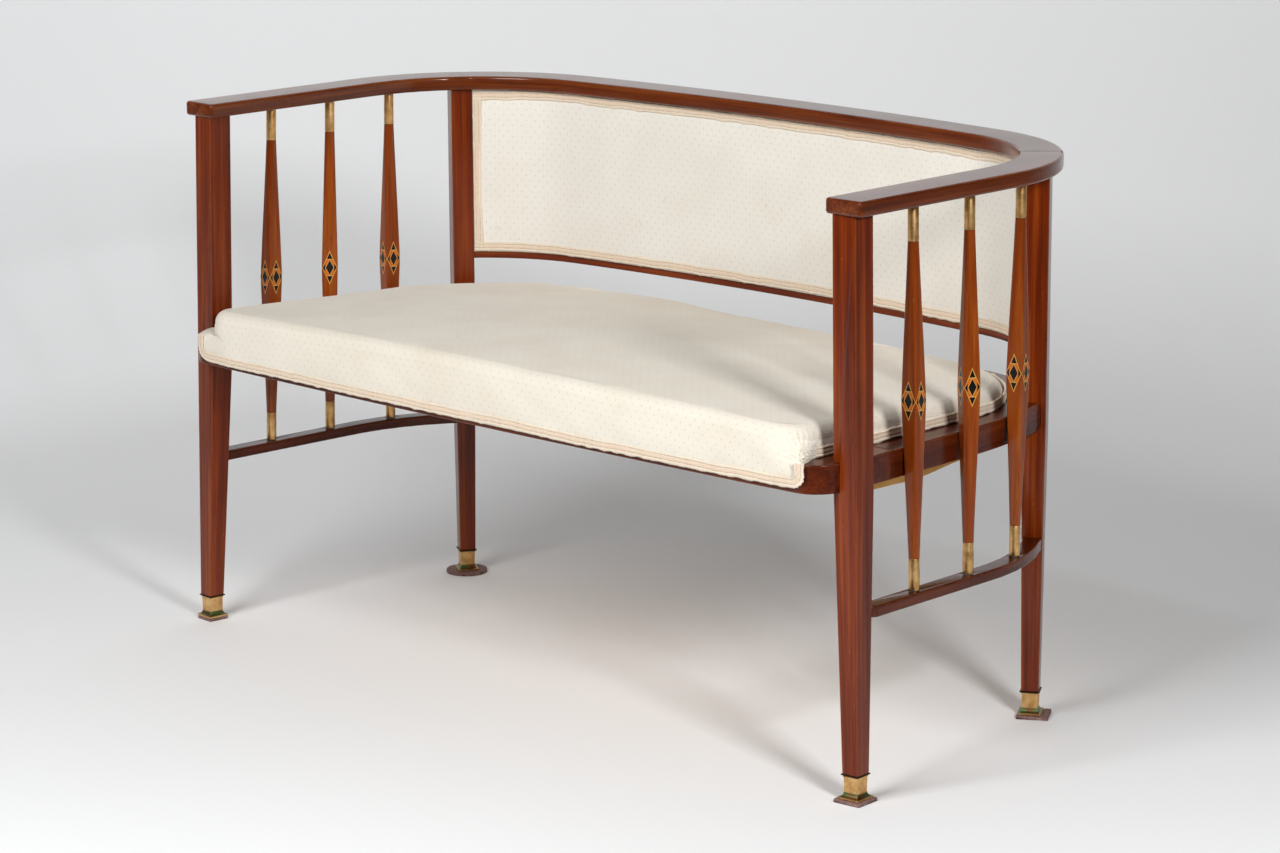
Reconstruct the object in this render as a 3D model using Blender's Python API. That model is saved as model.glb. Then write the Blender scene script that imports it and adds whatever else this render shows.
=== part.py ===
"""A small settee of polished mahogany, of the kind made in Vienna in about 1905.

One rail sweeps round as left arm, back and right arm. It stands on two tapered front legs, two
back legs turned to follow the curve, and three long inlaid spindles at each side, which end in
brass ferrules. Below, a rounded seat frame carries a tight upholstered seat on webbing, and a
thin upholstered panel fills the back.

Metres, +Z up, +Y to the back. The shapes are worked out with y = 0 at the tops of the front
legs, then moved so that the origin lies on the floor, below the middle of the whole. Each piece
is one object. A joint keeps a gap of 0.3 mm.
"""

import math

import bmesh
import bpy
import numpy as np

# Gaps and joints
GAP = 0.0003
CUT_OVERRUN = 0.006
TENON_LENGTH = 0.010
TENON_SHARE = 0.56

# The rail that is arm, back and arm, seen from above as one line
RAIL_TOP = 0.7485
RAIL_THICKNESS = 0.020
RAIL_WIDTH = 0.057
RAIL_ROUNDING = 0.004
BACK_LINE_DEPTH = 0.530
BACK_RADIUS = 3.57
BACK_HALF_LENGTH = 0.384
CORNER_RADIUS = 0.237
ARM_LENGTH = 0.2993
ARM_SPLAY = math.radians(0.75)

# Legs
FRONT_LEG_SETBACK = 0.0224
FRONT_LEG_INSET = 0.0033
BACK_LEG_INSET = 0.0025
FRONT_LEG_SIZE = 0.0354
FRONT_LEG_FOOT = 0.0240
FRONT_LEG_TURN = math.radians(4.5)
FRONT_LEAN_OUT = math.radians(1.1)
FRONT_LEAN_FORWARD = math.radians(0.4)
BACK_LEG_SIZE = 0.0310
BACK_LEG_FOOT = 0.0232
BACK_LEG_TURN = math.radians(32)
LEG_ROUNDING = 0.0014
LEG_TENON_SIZE = 0.018
LEG_TENON_HEIGHT = 0.012

# Brass feet and the pads below them
PAD_THICKNESS = 0.0042
FOOT_HEIGHT = 0.0316
FOOT_BASE_SIZE = 0.0310
FOOT_NECK_SIZE = 0.0212
FOOT_COLLAR_SIZE = 0.0265
FOOT_BASE_EDGE = 0.0026
FOOT_FLARE_HEIGHT = 0.0062
FOOT_COLLAR_EDGE = 0.0024
FOOT_COVE_HEIGHT = 0.0022
FOOT_ROUNDING = 0.0008
FOOT_SOCKET_SIZE = 0.0150
FOOT_SOCKET_DEPTH = 0.0220
SQUARE_PAD_SIZE = 0.0390
OFFSET_PAD_SIZE = 0.0420
OFFSET_PAD_SHIFT = 0.0045
ROUND_PAD_DIAMETER = 0.0610

# Spindles and their ferrules
SPINDLE_PITCH = 0.1085
SPINDLE_END_WIDTH = 0.0138
SPINDLE_MIDDLE_WIDTH = 0.0232
SPINDLE_CORNER = 0.0026
SPINDLE_PIN = 0.0095
SPINDLE_LEAN = 0.0050
PIN_DEPTH = 0.012
TOP_FERRULE_LENGTH = 0.0465
BOTTOM_FERRULE_LENGTH = 0.0405
SPINDLE_TURNS = {
    "left": [math.radians(a) for a in (3.5, 42.5, 12.0)],
    "right": [math.radians(a) for a in (5.0, -27.5, 12.0)],
}

# Stretchers between the legs at each side, low down
STRETCHER_TOP = 0.2450
STRETCHER_THICKNESS = 0.0145
STRETCHER_WIDTH = 0.0250
STRETCHER_ROUNDING = 0.0022
STRETCHER_START = math.radians(54)
STRETCHER_END = math.radians(87.8)
STRETCHER_RADIUS = 0.290

# Seat frame
SEAT_TOP = 0.4250
SEAT_RAIL_HEIGHT = 0.0365
SEAT_RAIL_WIDTH = 0.0460
SEAT_RAIL_ROUNDING = 0.0016
SEAT_FRONT = 0.0690
SEAT_FRONT_BOW = 0.0105
SEAT_CORNER_INSET = 0.0439
SEAT_CORNER_RADIUS = 0.0405
SEAT_SIDE_REACH = 0.0083
SEAT_SIDE_START = math.radians(73.3)
SEAT_SIDE_END = math.radians(87.1)
SEAT_SIDE_RADIUS = 0.770
SEAT_BACK_OUTSET = 0.0100
FRONT_JOINT_INSET = 0.0645
SIDE_RAIL_JOINT = 0.078
BRACE_WIDTH = 0.045
BRACE_HEIGHT = 0.030
BRACE_DROP = 0.0030
SIDE_END_SHARE = 0.35

# Webbing, canvas and stuffing below the seat
BAY_INSET = 0.0050
WEB_THICKNESS = 0.0016
WEB_OVERLAP = 0.018
WEB_SAG = 0.052
WEBS_ACROSS = 4
WEBS_DEEP = 3
WEB_SHARE = 0.62
CANVAS_THICKNESS = 0.0010
STUFFING_SETBACK = 0.0012
STUFFING_LIFT = 0.0030

# Seat cushion
CUSHION_SIDE_INSET = 0.0455
CUSHION_BACK_INSET = 0.0400
CUSHION_COVER = 0.0040
CUSHION_CORNER = 0.046
CUSHION_FRONT_HEIGHT = 0.0510
CUSHION_BACK_HEIGHT = 0.0245
CUSHION_SIDE_FALL = 0.0090
CUSHION_CROWN = 0.0060
CUSHION_SHOULDER = 0.0180
SHOULDER_SHARE = 0.75
CUSHION_BULGE = 0.0020
CUSHION_TUCK = 0.0030
SKIRT_PAST_CORNER = 0.0125
SKIRT_DROP = 0.0320
SKIRT_RISE = 0.0060

# Back panel
LOWER_RAIL_BOTTOM = 0.4780
LOWER_RAIL_HEIGHT = 0.0260
LOWER_RAIL_THICKNESS = 0.0200
LOWER_RAIL_INSET = 0.0025
LOWER_RAIL_ROUNDING = 0.0018
BACK_PAD_FRONT = 0.0160
BACK_PAD_REAR = 0.0055
BACK_PAD_CROWN = 0.0055
CROWN_RUN = 0.060
CROWN_POWER = 0.7
BACK_PAD_OVERLAP = 0.0155
REAR_COVER_THICKNESS = 0.0025

# Braid along the edges of the cloth
BRAID_WIDTH = 0.0125
BRAID_THICKNESS = 0.0020

# Steps along curves
BACK_STEPS = 6
CORNER_STEPS = 15
ARM_STEPS = 2
ROUND_SIDES = 14
ROUND_SHARE = 0.499

# Heights and places that follow from the sizes above
RAIL_UNDERSIDE = RAIL_TOP - RAIL_THICKNESS
SEAT_BOTTOM = SEAT_TOP - SEAT_RAIL_HEIGHT
CORNER_TURN = math.pi / 2 - ARM_SPLAY - BACK_HALF_LENGTH / BACK_RADIUS
RAIL_PIECES = (
    (BACK_RADIUS, BACK_HALF_LENGTH),
    (CORNER_RADIUS, CORNER_RADIUS * CORNER_TURN),
    (None, ARM_LENGTH),
)
TIP_AT = sum(length for _, length in RAIL_PIECES)
FRONT_LEG_AT = TIP_AT - FRONT_LEG_SETBACK
SPINDLES_AT = [FRONT_LEG_AT - n * SPINDLE_PITCH for n in (1, 2, 3)]
BACK_LEG_AT = FRONT_LEG_AT - 4 * SPINDLE_PITCH
FOOT_TOP = PAD_THICKNESS + GAP + FOOT_HEIGHT
SIDES = {"left": -1, "right": 1}


def clear_scene():
    for obj in list(bpy.data.objects):
        bpy.data.objects.remove(obj, do_unlink=True)


def make_material(name, color, roughness, metallic=0.0):
    material = bpy.data.materials.new(name)
    material.use_nodes = True
    shader = material.node_tree.nodes["Principled BSDF"]
    shader.inputs["Base Color"].default_value = (*color, 1.0)
    shader.inputs["Roughness"].default_value = roughness
    shader.inputs["Metallic"].default_value = metallic
    material.diffuse_color = (*color, 1.0)
    return material


def make_object(name, points, faces, material=None):
    """One closed mesh as an object, its faces turned outwards and its round sides smooth."""
    mesh = bpy.data.meshes.new(name)
    mesh.from_pydata([tuple(map(float, p)) for p in points], [], faces)
    work = bmesh.new()
    work.from_mesh(mesh)
    bmesh.ops.recalc_face_normals(work, faces=work.faces)
    work.to_mesh(mesh)
    work.free()
    mesh.shade_smooth()
    mesh.set_sharp_from_angle(angle=math.radians(32))
    obj = bpy.data.objects.new(name, mesh)
    bpy.context.scene.collection.objects.link(obj)
    if material:
        mesh.materials.append(material)
    else:
        obj.hide_render = True
        obj.display_type = "WIRE"
    return obj


def loft(name, rings, material=None):
    """A closed solid through rings of equally many points, with flat ends."""
    count = len(rings[0])
    points = [p for ring in rings for p in ring]
    faces = [list(range(count))[::-1], [len(points) - count + k for k in range(count)]]
    for n in range(len(rings) - 1):
        for k in range(count):
            a, b = n * count + k, n * count + (k + 1) % count
            faces.append([a, b, b + count, a + count])
    return make_object(name, points, faces, material)


def prism(name, outline, low, high, material=None):
    """An outline seen from above, carried from one height to another."""
    return loft(name, [[(x, y, z) for x, y in outline] for z in (low, high)], material)


def boolean(obj, other, operation):
    modifier = obj.modifiers.new(f"{operation.lower()} {other.name}", "BOOLEAN")
    modifier.operation = operation
    modifier.solver = "EXACT"
    modifier.object = other


def cut(obj, cutter):
    boolean(obj, cutter, "DIFFERENCE")


def join(obj, addition):
    boolean(obj, addition, "UNION")


def soften(obj, width):
    """Small rounded arrises on a sawn piece."""
    modifier = obj.modifiers.new("arrises", "BEVEL")
    modifier.width = width
    modifier.segments = 2
    modifier.limit_method = "ANGLE"
    modifier.angle_limit = math.radians(40)


def rounded_section(width, height, radius, steps=3):
    """A rectangle with round corners, as points across and up, centred on zero."""
    points = []
    for quarter, (sx, sy) in enumerate(((1, -1), (1, 1), (-1, 1), (-1, -1))):
        for n in range(steps + 1):
            angle = (quarter - 1 + n / steps) * math.pi / 2
            across = sx * (width / 2 - radius) + radius * math.cos(angle)
            points.append((across, sy * (height / 2 - radius) + radius * math.sin(angle)))
    return points


def trace(path, distance):
    """Place and heading a distance along a path of arcs and straights, seen from above.

    A path is its start, its first heading and its (radius, length) pieces, of which the last
    goes on. A heading of 0 is towards +X, a right angle is towards the front.
    """
    (x, y), heading, pieces = path
    left = distance
    for number, (radius, length) in enumerate(pieces):
        last = number == len(pieces) - 1
        step = left if last else min(left, length)
        if radius:
            turned = heading + step / radius
            x += radius * (math.sin(turned) - math.sin(heading))
            y -= radius * (math.cos(heading) - math.cos(turned))
            heading = turned
        else:
            x += step * math.cos(heading)
            y -= step * math.sin(heading)
        left -= step
        if left <= 0:
            break
    return x, y, heading


def path_frame(path, distance, side=1):
    """A path's point and its outward direction. The left side is the mirror of the right."""
    x, y, heading = trace(path, distance)
    point = np.array([side * x, y])
    outward = np.array([side * math.sin(heading), math.cos(heading)])
    return point, outward


def bend_path(start, first, last, radius):
    """A path that bends from one heading to another, then runs straight."""
    return start, first, ((radius, radius * (last - first)), (None, 0.0))


def reach(path, y):
    """The distance at which a path's straight end comes to a depth."""
    bend = path[2][0][1]
    _, at, heading = trace(path, bend)
    return bend + (at - y) / math.sin(heading)


RAIL_PATH = ((0.0, BACK_LINE_DEPTH), 0.0, RAIL_PIECES)


def rail_frame(distance, side=1):
    """The rail line's point and its outward direction. A negative distance lies on the left half."""
    return path_frame(RAIL_PATH, abs(distance), side if distance >= 0 else -side)


def beside_rail(distance, offset, side=1):
    point, outward = rail_frame(distance, side)
    return point + outward * offset


# Places in the seat that follow the front legs
FRONT_LEG_X, FRONT_LEG_Y = rail_frame(FRONT_LEG_AT)[0]
SEAT_CORNER_X = FRONT_LEG_X - SEAT_CORNER_INSET
FRONT_RAIL_JOINT = SEAT_CORNER_X - FRONT_JOINT_INSET
SKIRT_REACH = SEAT_CORNER_X + SKIRT_PAST_CORNER
CUSHION_HALF_WIDTH = FRONT_LEG_X - CUSHION_SIDE_INSET
SEAT_FRONT_Y = FRONT_LEG_Y - SEAT_FRONT
BRAID_FRONT_Y = SEAT_FRONT_Y - CUSHION_COVER - GAP - BRAID_THICKNESS
RAIL_REAR_Y = BACK_LINE_DEPTH + RAIL_WIDTH / 2
CENTRE_SHIFT = -(BRAID_FRONT_Y + RAIL_REAR_Y) / 2


def stops(first, last, steps):
    """Places along the rail from first to last, close together only where it bends."""
    bends = [0.0, RAIL_PIECES[0][1], RAIL_PIECES[0][1] + RAIL_PIECES[1][1]]
    marks = sorted({first, last, *bends, *(-b for b in bends)})
    marks = [m for m in marks if min(first, last) <= m <= max(first, last)]
    places = [marks[0]]
    for a, b in zip(marks, marks[1:]):
        middle = abs(a + b) / 2
        if middle < bends[1]:
            share, full = steps[0], bends[1]
        elif middle < bends[2]:
            share, full = steps[1], bends[2] - bends[1]
        else:
            share, full = steps[2], ARM_LENGTH
        number = max(1, math.ceil(share * (b - a) / full))
        places += [a + (b - a) * n / number for n in range(1, number + 1)]
    return places if first < last else places[::-1]


ALL_STEPS = (BACK_STEPS, CORNER_STEPS, ARM_STEPS)


def ring_at(point, across, section, height):
    """A section's points, placed across a line that is seen from above."""
    return [
        (point[0] + across[0] * a, point[1] + across[1] * a, height + b) for a, b in section
    ]


def post_axes(turn, side):
    """Outward and forward directions of a post that is turned outwards."""
    outward = np.array([side * math.cos(turn), math.sin(turn)])
    forward = np.array([side * math.sin(turn), -math.cos(turn)])
    return outward, forward


def post_ring(centre, turn, side, section, height):
    outward, forward = post_axes(turn, side)
    return [(*(centre + outward * a + forward * b), height) for a, b in section]


def box_along(name, start, along, length, width, low, high, material=None):
    """An upright box that runs from a point along a level direction."""
    across = np.array([-along[1], along[0]]) * width / 2
    end = start + along * length
    outline = [start - across, end - across, end + across, start + across]
    return prism(name, outline, low, high, material)


def tenon(rail, post, start, along, width, low, high):
    """A tenon on a rail's end, and the mortise for it in the post."""
    half = width * TENON_SHARE / 2
    rise = (high - low) * (1 - TENON_SHARE) / 2
    low, high = low + rise, high - rise
    name = f"{rail.name} into {post.name}"
    start = start - along * CUT_OVERRUN
    length, wide = CUT_OVERRUN + TENON_LENGTH, 2 * half
    tongue = box_along(f"tenon {name}", start, along, length, wide, low, high)
    length, wide = length + GAP, wide + 2 * GAP
    hole = box_along(f"mortise {name}", start, along, length, wide, low - GAP, high + GAP)
    join(rail, tongue)
    cut(post, hole)


def rod(name, point, low, high, diameter, material=None, top_point=None):
    """A round pin between two heights, upright or leaning."""
    turns = [2 * math.pi * n / ROUND_SIDES for n in range(ROUND_SIDES)]
    circle = [np.array([math.cos(a), math.sin(a)]) * diameter / 2 for a in turns]
    top_point = point if top_point is None else top_point
    rings = [[(*(p + c), z) for c in circle] for p, z in ((point, low), (top_point, high))]
    return loft(name, rings, material)


# Rails


def make_rail(name, side, first, last, material, tip=False):
    """A stretch of the rail, with rounded arrises, and rounded off at an arm's tip."""
    middle = RAIL_TOP - RAIL_THICKNESS / 2
    last_full = last - RAIL_ROUNDING if tip else last
    full = rounded_section(RAIL_WIDTH, RAIL_THICKNESS, RAIL_ROUNDING)
    rings = []
    for distance in stops(first, last_full, ALL_STEPS):
        rings.append(ring_at(*rail_frame(distance, side), full, middle))
    if tip:
        for angle in (math.radians(30), math.radians(60), math.radians(84)):
            inset = RAIL_ROUNDING * (1 - math.cos(angle))
            radius = RAIL_ROUNDING - inset
            section = rounded_section(RAIL_WIDTH - 2 * inset, RAIL_THICKNESS - 2 * inset, radius)
            distance = last_full + RAIL_ROUNDING * math.sin(angle)
            rings.append(ring_at(*rail_frame(distance, side), section, middle))
    return loft(name, rings, material)


def make_rails(wood):
    """The crest goes from back leg to back leg, and an arm from there to the front."""
    joint = BACK_LEG_AT - GAP / 2
    rails = {"crest_rail": make_rail("crest_rail", 1, -joint, joint, wood)}
    for word, side in SIDES.items():
        name = f"arm_rail_{word}"
        rails[name] = make_rail(name, side, BACK_LEG_AT + GAP / 2, TIP_AT, wood, tip=True)
    return rails


# Legs


def front_leg_centre(height, side, size):
    """The outer front corner runs straight, so a thinner leg lies further out and forward."""
    top = beside_rail(FRONT_LEG_AT, -FRONT_LEG_INSET, side)
    drop = RAIL_UNDERSIDE - height
    outward, forward = post_axes(FRONT_LEG_TURN, side)
    lean = np.array([side * math.tan(FRONT_LEAN_OUT), -math.tan(FRONT_LEAN_FORWARD)]) * drop
    return top + lean + (outward + forward) * (FRONT_LEG_SIZE - size) / 2


def leg_size(height, full, foot):
    """A leg is square down to the seat frame and tapers below it."""
    share = min(1.0, max(0.0, (SEAT_BOTTOM - height) / (SEAT_BOTTOM - FOOT_TOP)))
    return full + (foot - full) * share


def leg_heights():
    shoulder = RAIL_UNDERSIDE - GAP
    return [FOOT_TOP + GAP, SEAT_BOTTOM, shoulder], shoulder


def make_leg(name, side, place, full, foot, turn, material):
    """A leg with a tenon for the rail above it and a spigot for its brass foot below."""
    heights, shoulder = leg_heights()
    spigot = FOOT_SOCKET_SIZE - 2 * GAP
    bottom = FOOT_TOP - FOOT_SOCKET_DEPTH + GAP
    rings = []

    def add(height, size, at_size):
        section = rounded_section(size, size, min(LEG_ROUNDING, size / 4), 2)
        centre = place(max(height, FOOT_TOP), side, at_size)
        rings.append(post_ring(centre, turn, side, section, height))

    add(bottom, spigot, foot)
    add(heights[0], spigot, foot)
    for height in heights:
        size = leg_size(height, full, foot)
        add(height, size, size)
    add(shoulder, LEG_TENON_SIZE, full)
    add(shoulder + LEG_TENON_HEIGHT, LEG_TENON_SIZE, full)
    return loft(name, rings, material)


def back_leg_centre(height, side, size):
    return beside_rail(BACK_LEG_AT, -BACK_LEG_INSET, side)


LEG_KINDS = {
    "front": (front_leg_centre, FRONT_LEG_SIZE, FRONT_LEG_FOOT, FRONT_LEG_TURN),
    "back": (back_leg_centre, BACK_LEG_SIZE, BACK_LEG_FOOT, BACK_LEG_TURN),
}


def make_legs(wood, rails):
    legs = {}
    for end, (place, full, foot, turn) in LEG_KINDS.items():
        for word, side in SIDES.items():
            name = f"{end}_leg_{word}"
            legs[end, word] = make_leg(name, side, place, full, foot, turn, wood)
            mortise_rails(rails, end, word, side, place, full, turn)
    return legs


def mortise_rails(rails, end, word, side, place, full, turn):
    """The hole in the rail for a leg's tenon. The one at the back lies across a joint."""
    size = LEG_TENON_SIZE + 2 * GAP
    centre = place(RAIL_UNDERSIDE, side, full)
    outward, forward = post_axes(turn, side)
    corners = [(1, 1), (-1, 1), (-1, -1), (1, -1)]
    outline = [centre + (outward * a + forward * b) * size / 2 for a, b in corners]
    low, high = RAIL_UNDERSIDE - CUT_OVERRUN, RAIL_UNDERSIDE + LEG_TENON_HEIGHT
    hole = prism(f"mortise {end} leg {word}", outline, low, high)
    cut(rails[f"arm_rail_{word}"], hole)
    if end == "back":
        cut(rails["crest_rail"], hole)


def leg_face(word, end, height, behind=False):
    """The middle of a leg's front or rear face at a height, and the face's outward direction."""
    place, full, foot, turn = LEG_KINDS[end]
    side = SIDES[word]
    size = leg_size(height, full, foot)
    _, forward = post_axes(turn, side)
    direction = -forward if behind else forward
    return place(height, side, size) + direction * size / 2, direction


# Brass feet


def foot_rings(centre, turn, side):
    """Base edge, concave flare, neck, cove and collar, as squares from the bottom up."""
    base, neck, collar = FOOT_BASE_SIZE, FOOT_NECK_SIZE, FOOT_COLLAR_SIZE
    bottom = PAD_THICKNESS + GAP
    flare = bottom + FOOT_BASE_EDGE
    levels = [(bottom, base), (flare, base)]
    for angle in (math.radians(22), math.radians(50), math.radians(90)):
        size = base - (base - neck) * math.sin(angle)
        levels.append((flare + FOOT_FLARE_HEIGHT * (1 - math.cos(angle)), size))
    cove = FOOT_TOP - FOOT_COLLAR_EDGE
    levels += [(cove - FOOT_COVE_HEIGHT, neck), (cove, collar), (FOOT_TOP, collar)]
    levels += [(FOOT_TOP, FOOT_SOCKET_SIZE), (FOOT_TOP - FOOT_SOCKET_DEPTH, FOOT_SOCKET_SIZE)]
    sections = [(z, rounded_section(size, size, FOOT_ROUNDING, 1)) for z, size in levels]
    return [post_ring(centre, turn, side, section, z) for z, section in sections]


def make_feet(brass):
    for end, (place, _, foot, turn) in LEG_KINDS.items():
        for word, side in SIDES.items():
            centre = place(FOOT_TOP, side, foot)
            loft(f"brass_foot_{end}_{word}", foot_rings(centre, turn, side), brass)


def make_pad(end, word, felt, size, shift=0.0):
    """A square glide pad under one brass foot."""
    place, _, foot, turn = LEG_KINDS[end]
    side = SIDES[word]
    outward, _ = post_axes(turn, side)
    centre = place(FOOT_TOP, side, foot) + outward * shift
    section = rounded_section(size, size, LEG_ROUNDING, 2)
    rings = [post_ring(centre, turn, side, section, z) for z in (0.0, PAD_THICKNESS)]
    loft(f"glide_pad_{end}_{word}", rings, felt)


def make_pads(felt):
    """The four pads differ, as they do on the real piece."""
    make_pad("front", "left", felt, FOOT_BASE_SIZE)
    make_pad("front", "right", felt, SQUARE_PAD_SIZE)
    make_pad("back", "right", felt, OFFSET_PAD_SIZE, OFFSET_PAD_SHIFT)
    centre = back_leg_centre(FOOT_TOP, SIDES["left"], BACK_LEG_FOOT)
    turns = [2 * math.pi * n / (2 * ROUND_SIDES) for n in range(2 * ROUND_SIDES)]
    circle = [
        centre + np.array([math.cos(a), math.sin(a)]) * ROUND_PAD_DIAMETER / 2 for a in turns
    ]
    prism("glide_pad_back_left", circle, 0.0, PAD_THICKNESS, felt)


# Stretchers and spindles


def stretcher_path():
    """From the middle of the back leg's front face, on the right."""
    face, _ = leg_face("right", "back", STRETCHER_TOP)
    return bend_path(tuple(face), STRETCHER_START, STRETCHER_END, STRETCHER_RADIUS)


def make_stretcher(word, wood, legs):
    """Swept from the back leg's front face to the front leg's rear face, tenoned into both."""
    side = SIDES[word]
    middle = STRETCHER_TOP - STRETCHER_THICKNESS / 2
    section = rounded_section(STRETCHER_WIDTH, STRETCHER_THICKNESS, STRETCHER_ROUNDING, 2)
    path = stretcher_path()
    front, rearward = leg_face(word, "front", STRETCHER_TOP, behind=True)
    back, forward = leg_face(word, "back", STRETCHER_TOP)
    front, back = front + rearward * GAP, back + forward * GAP
    across_back = np.array([-forward[1], forward[0]]) * side
    across_front = np.array([rearward[1], -rearward[0]]) * side
    last = reach(path, front[1]) - STRETCHER_WIDTH / 4
    rings = [ring_at(back, across_back, section, middle)]
    for distance in np.linspace(STRETCHER_WIDTH / 2, last, 12):
        rings.append(ring_at(*path_frame(path, distance, side), section, middle))
    rings.append(ring_at(front, across_front, section, middle))
    rail = loft(f"side_stretcher_{word}", rings, wood)
    low = STRETCHER_TOP - STRETCHER_THICKNESS
    tenon(rail, legs["front", word], front, -rearward, STRETCHER_WIDTH, low, STRETCHER_TOP)
    tenon(rail, legs["back", word], back, -forward, STRETCHER_WIDTH, low, STRETCHER_TOP)
    return rail


def spindle_ends(number, side):
    """Plan places of a spindle's axis at the rail's underside and at the stretcher's top."""
    top = rail_frame(SPINDLES_AT[number], side)[0]
    path = stretcher_path()
    from_front = (number + 1) * SPINDLE_PITCH - SPINDLE_LEAN
    bottom = path_frame(path, reach(path, FRONT_LEG_Y) - from_front, side)[0]
    return top, bottom


def spindle_place(number, side, height):
    top, bottom = spindle_ends(number, side)
    share = (height - STRETCHER_TOP) / (RAIL_UNDERSIDE - STRETCHER_TOP)
    return bottom + (top - bottom) * share


def spindle_section(share):
    """Round at the ferrules, and a square with soft corners at mid-height."""
    width = SPINDLE_END_WIDTH + (SPINDLE_MIDDLE_WIDTH - SPINDLE_END_WIDTH) * share
    squareness = math.sin(share * math.pi / 2)
    radius = width / 2 + (SPINDLE_CORNER - width / 2) * squareness
    return rounded_section(width, width, min(radius, width * ROUND_SHARE), 3)


def make_spindle(number, word, wood):
    """One stick with a pin at each end, which passes through its ferrule into the rail."""
    side = SIDES[word]
    turn = SPINDLE_TURNS[word][number]
    low = STRETCHER_TOP + GAP + BOTTOM_FERRULE_LENGTH + GAP
    high = RAIL_UNDERSIDE - GAP - TOP_FERRULE_LENGTH - GAP
    middle = (low + high) / 2
    pin = rounded_section(SPINDLE_PIN, SPINDLE_PIN, SPINDLE_PIN * ROUND_SHARE, 3)
    levels = [(STRETCHER_TOP - PIN_DEPTH + GAP, pin), (low, pin)]
    for share in (0.0, 0.2, 0.45, 0.72, 1.0):
        levels.append((low + (middle - low) * share, spindle_section(share)))
    for share in (0.72, 0.45, 0.2, 0.0):
        levels.append((high - (high - middle) * share, spindle_section(share)))
    levels += [(high, pin), (RAIL_UNDERSIDE + PIN_DEPTH - GAP, pin)]
    rings = [
        post_ring(spindle_place(number, side, z), turn, side, section, z) for z, section in levels
    ]
    return loft(f"spindle_{word}_{number + 1}", rings, wood)


def make_ferrule(name, number, word, low, high, brass):
    """A brass tube round a spindle's pin."""
    side = SIDES[word]
    bore = SPINDLE_PIN + 2 * GAP
    turns = [2 * math.pi * n / ROUND_SIDES for n in range(ROUND_SIDES)]
    rings = []
    for z, diameter in ((low, bore), (low, SPINDLE_END_WIDTH), (high, SPINDLE_END_WIDTH), (high, bore)):
        centre = spindle_place(number, side, z)
        circle = [centre + np.array([math.cos(a), math.sin(a)]) * diameter / 2 for a in turns]
        rings.append([(*p, z) for p in circle])
    count = len(rings[0])
    faces = []
    for n in range(len(rings)):
        for k in range(count):
            m = (n + 1) % len(rings)
            j = (k + 1) % count
            faces.append([n * count + k, n * count + j, m * count + j, m * count + k])
    make_object(name, [p for ring in rings for p in ring], faces, brass)


def make_spindles(wood, brass, rails, stretchers):
    for word, side in SIDES.items():
        for number in range(len(SPINDLES_AT)):
            make_spindle(number, word, wood)
            name = f"{word}_{number + 1}"
            low = STRETCHER_TOP + GAP
            high = RAIL_UNDERSIDE - GAP
            make_ferrule(f"ferrule_bottom_{name}", number, word, low, low + BOTTOM_FERRULE_LENGTH, brass)
            make_ferrule(f"ferrule_top_{name}", number, word, high - TOP_FERRULE_LENGTH, high, brass)
            drill(rails[f"arm_rail_{word}"], number, side, RAIL_UNDERSIDE, 1)
            drill(stretchers[word], number, side, STRETCHER_TOP, -1)


def drill(rail, number, side, surface, direction):
    """A blind hole for a spindle's pin, along the spindle's own lean."""
    ends = sorted((surface - direction * CUT_OVERRUN, surface + direction * PIN_DEPTH))
    places = [spindle_place(number, side, z) for z in ends]
    name = f"hole {rail.name} {number + 1}"
    diameter = (SPINDLE_PIN + 2 * GAP) / math.cos(math.pi / ROUND_SIDES)
    cut(rail, rod(name, places[0], ends[0], ends[1], diameter, top_point=places[1]))


# Seat frame


def seat_front_y(x):
    """The front face bows forward in the middle."""
    return SEAT_FRONT_Y + SEAT_FRONT_BOW * (x / SEAT_CORNER_X) ** 2


def seat_side_path():
    """The side's outer face on the right, from near the outer edge of the back leg's front face."""
    face, forward = leg_face("right", "back", SEAT_TOP)
    across = np.array([-forward[1], forward[0]])
    start = face + across * SEAT_SIDE_REACH
    return bend_path(tuple(start), SEAT_SIDE_START, SEAT_SIDE_END, SEAT_SIDE_RADIUS)


def seat_side_line(first, last, steps, grow=0.0):
    """Points beside the side's outer face, between two distances from its rear end."""
    path = seat_side_path()
    frames = [path_frame(path, d) for d in np.linspace(first, last, steps + 1)]
    return [point + outward * grow for point, outward in frames]


def seat_side_joint():
    """Where the side rail ends and the corner block begins."""
    return reach(seat_side_path(), FRONT_LEG_Y + SIDE_RAIL_JOINT)


def seat_corner_arc(grow=0.0, limit_x=None, steps=8):
    """From the bowed front round to the front leg's front face on the right, or to a limit."""
    radius = SEAT_CORNER_RADIUS + grow
    centre = np.array([SEAT_CORNER_X, seat_front_y(SEAT_CORNER_X) + SEAT_CORNER_RADIUS])
    if limit_x is None:
        face, _ = leg_face("right", "front", SEAT_TOP)
        last = math.acos((centre[1] - face[1] + 2 * GAP) / radius)
    else:
        last = math.asin((limit_x - SEAT_CORNER_X) / radius)
    angles = [last * n / steps for n in range(steps + 1)]
    return [tuple(centre + radius * np.array([math.sin(a), -math.cos(a)])) for a in angles]


def mirrored(outline, side):
    return outline if side > 0 else [(-x, y) for x, y in outline][::-1]


def front_line(first, last, depth=0.0, steps=10):
    return [(x, seat_front_y(x) + depth) for x in np.linspace(first, last, steps + 1)]


def make_front_rail(wood):
    edge = FRONT_RAIL_JOINT - GAP / 2
    outline = front_line(-edge, edge) + front_line(edge, -edge, SEAT_RAIL_WIDTH)
    rail = prism("seat_rail_front", outline, SEAT_BOTTOM, SEAT_TOP, wood)
    soften(rail, SEAT_RAIL_ROUNDING)
    return rail


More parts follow.
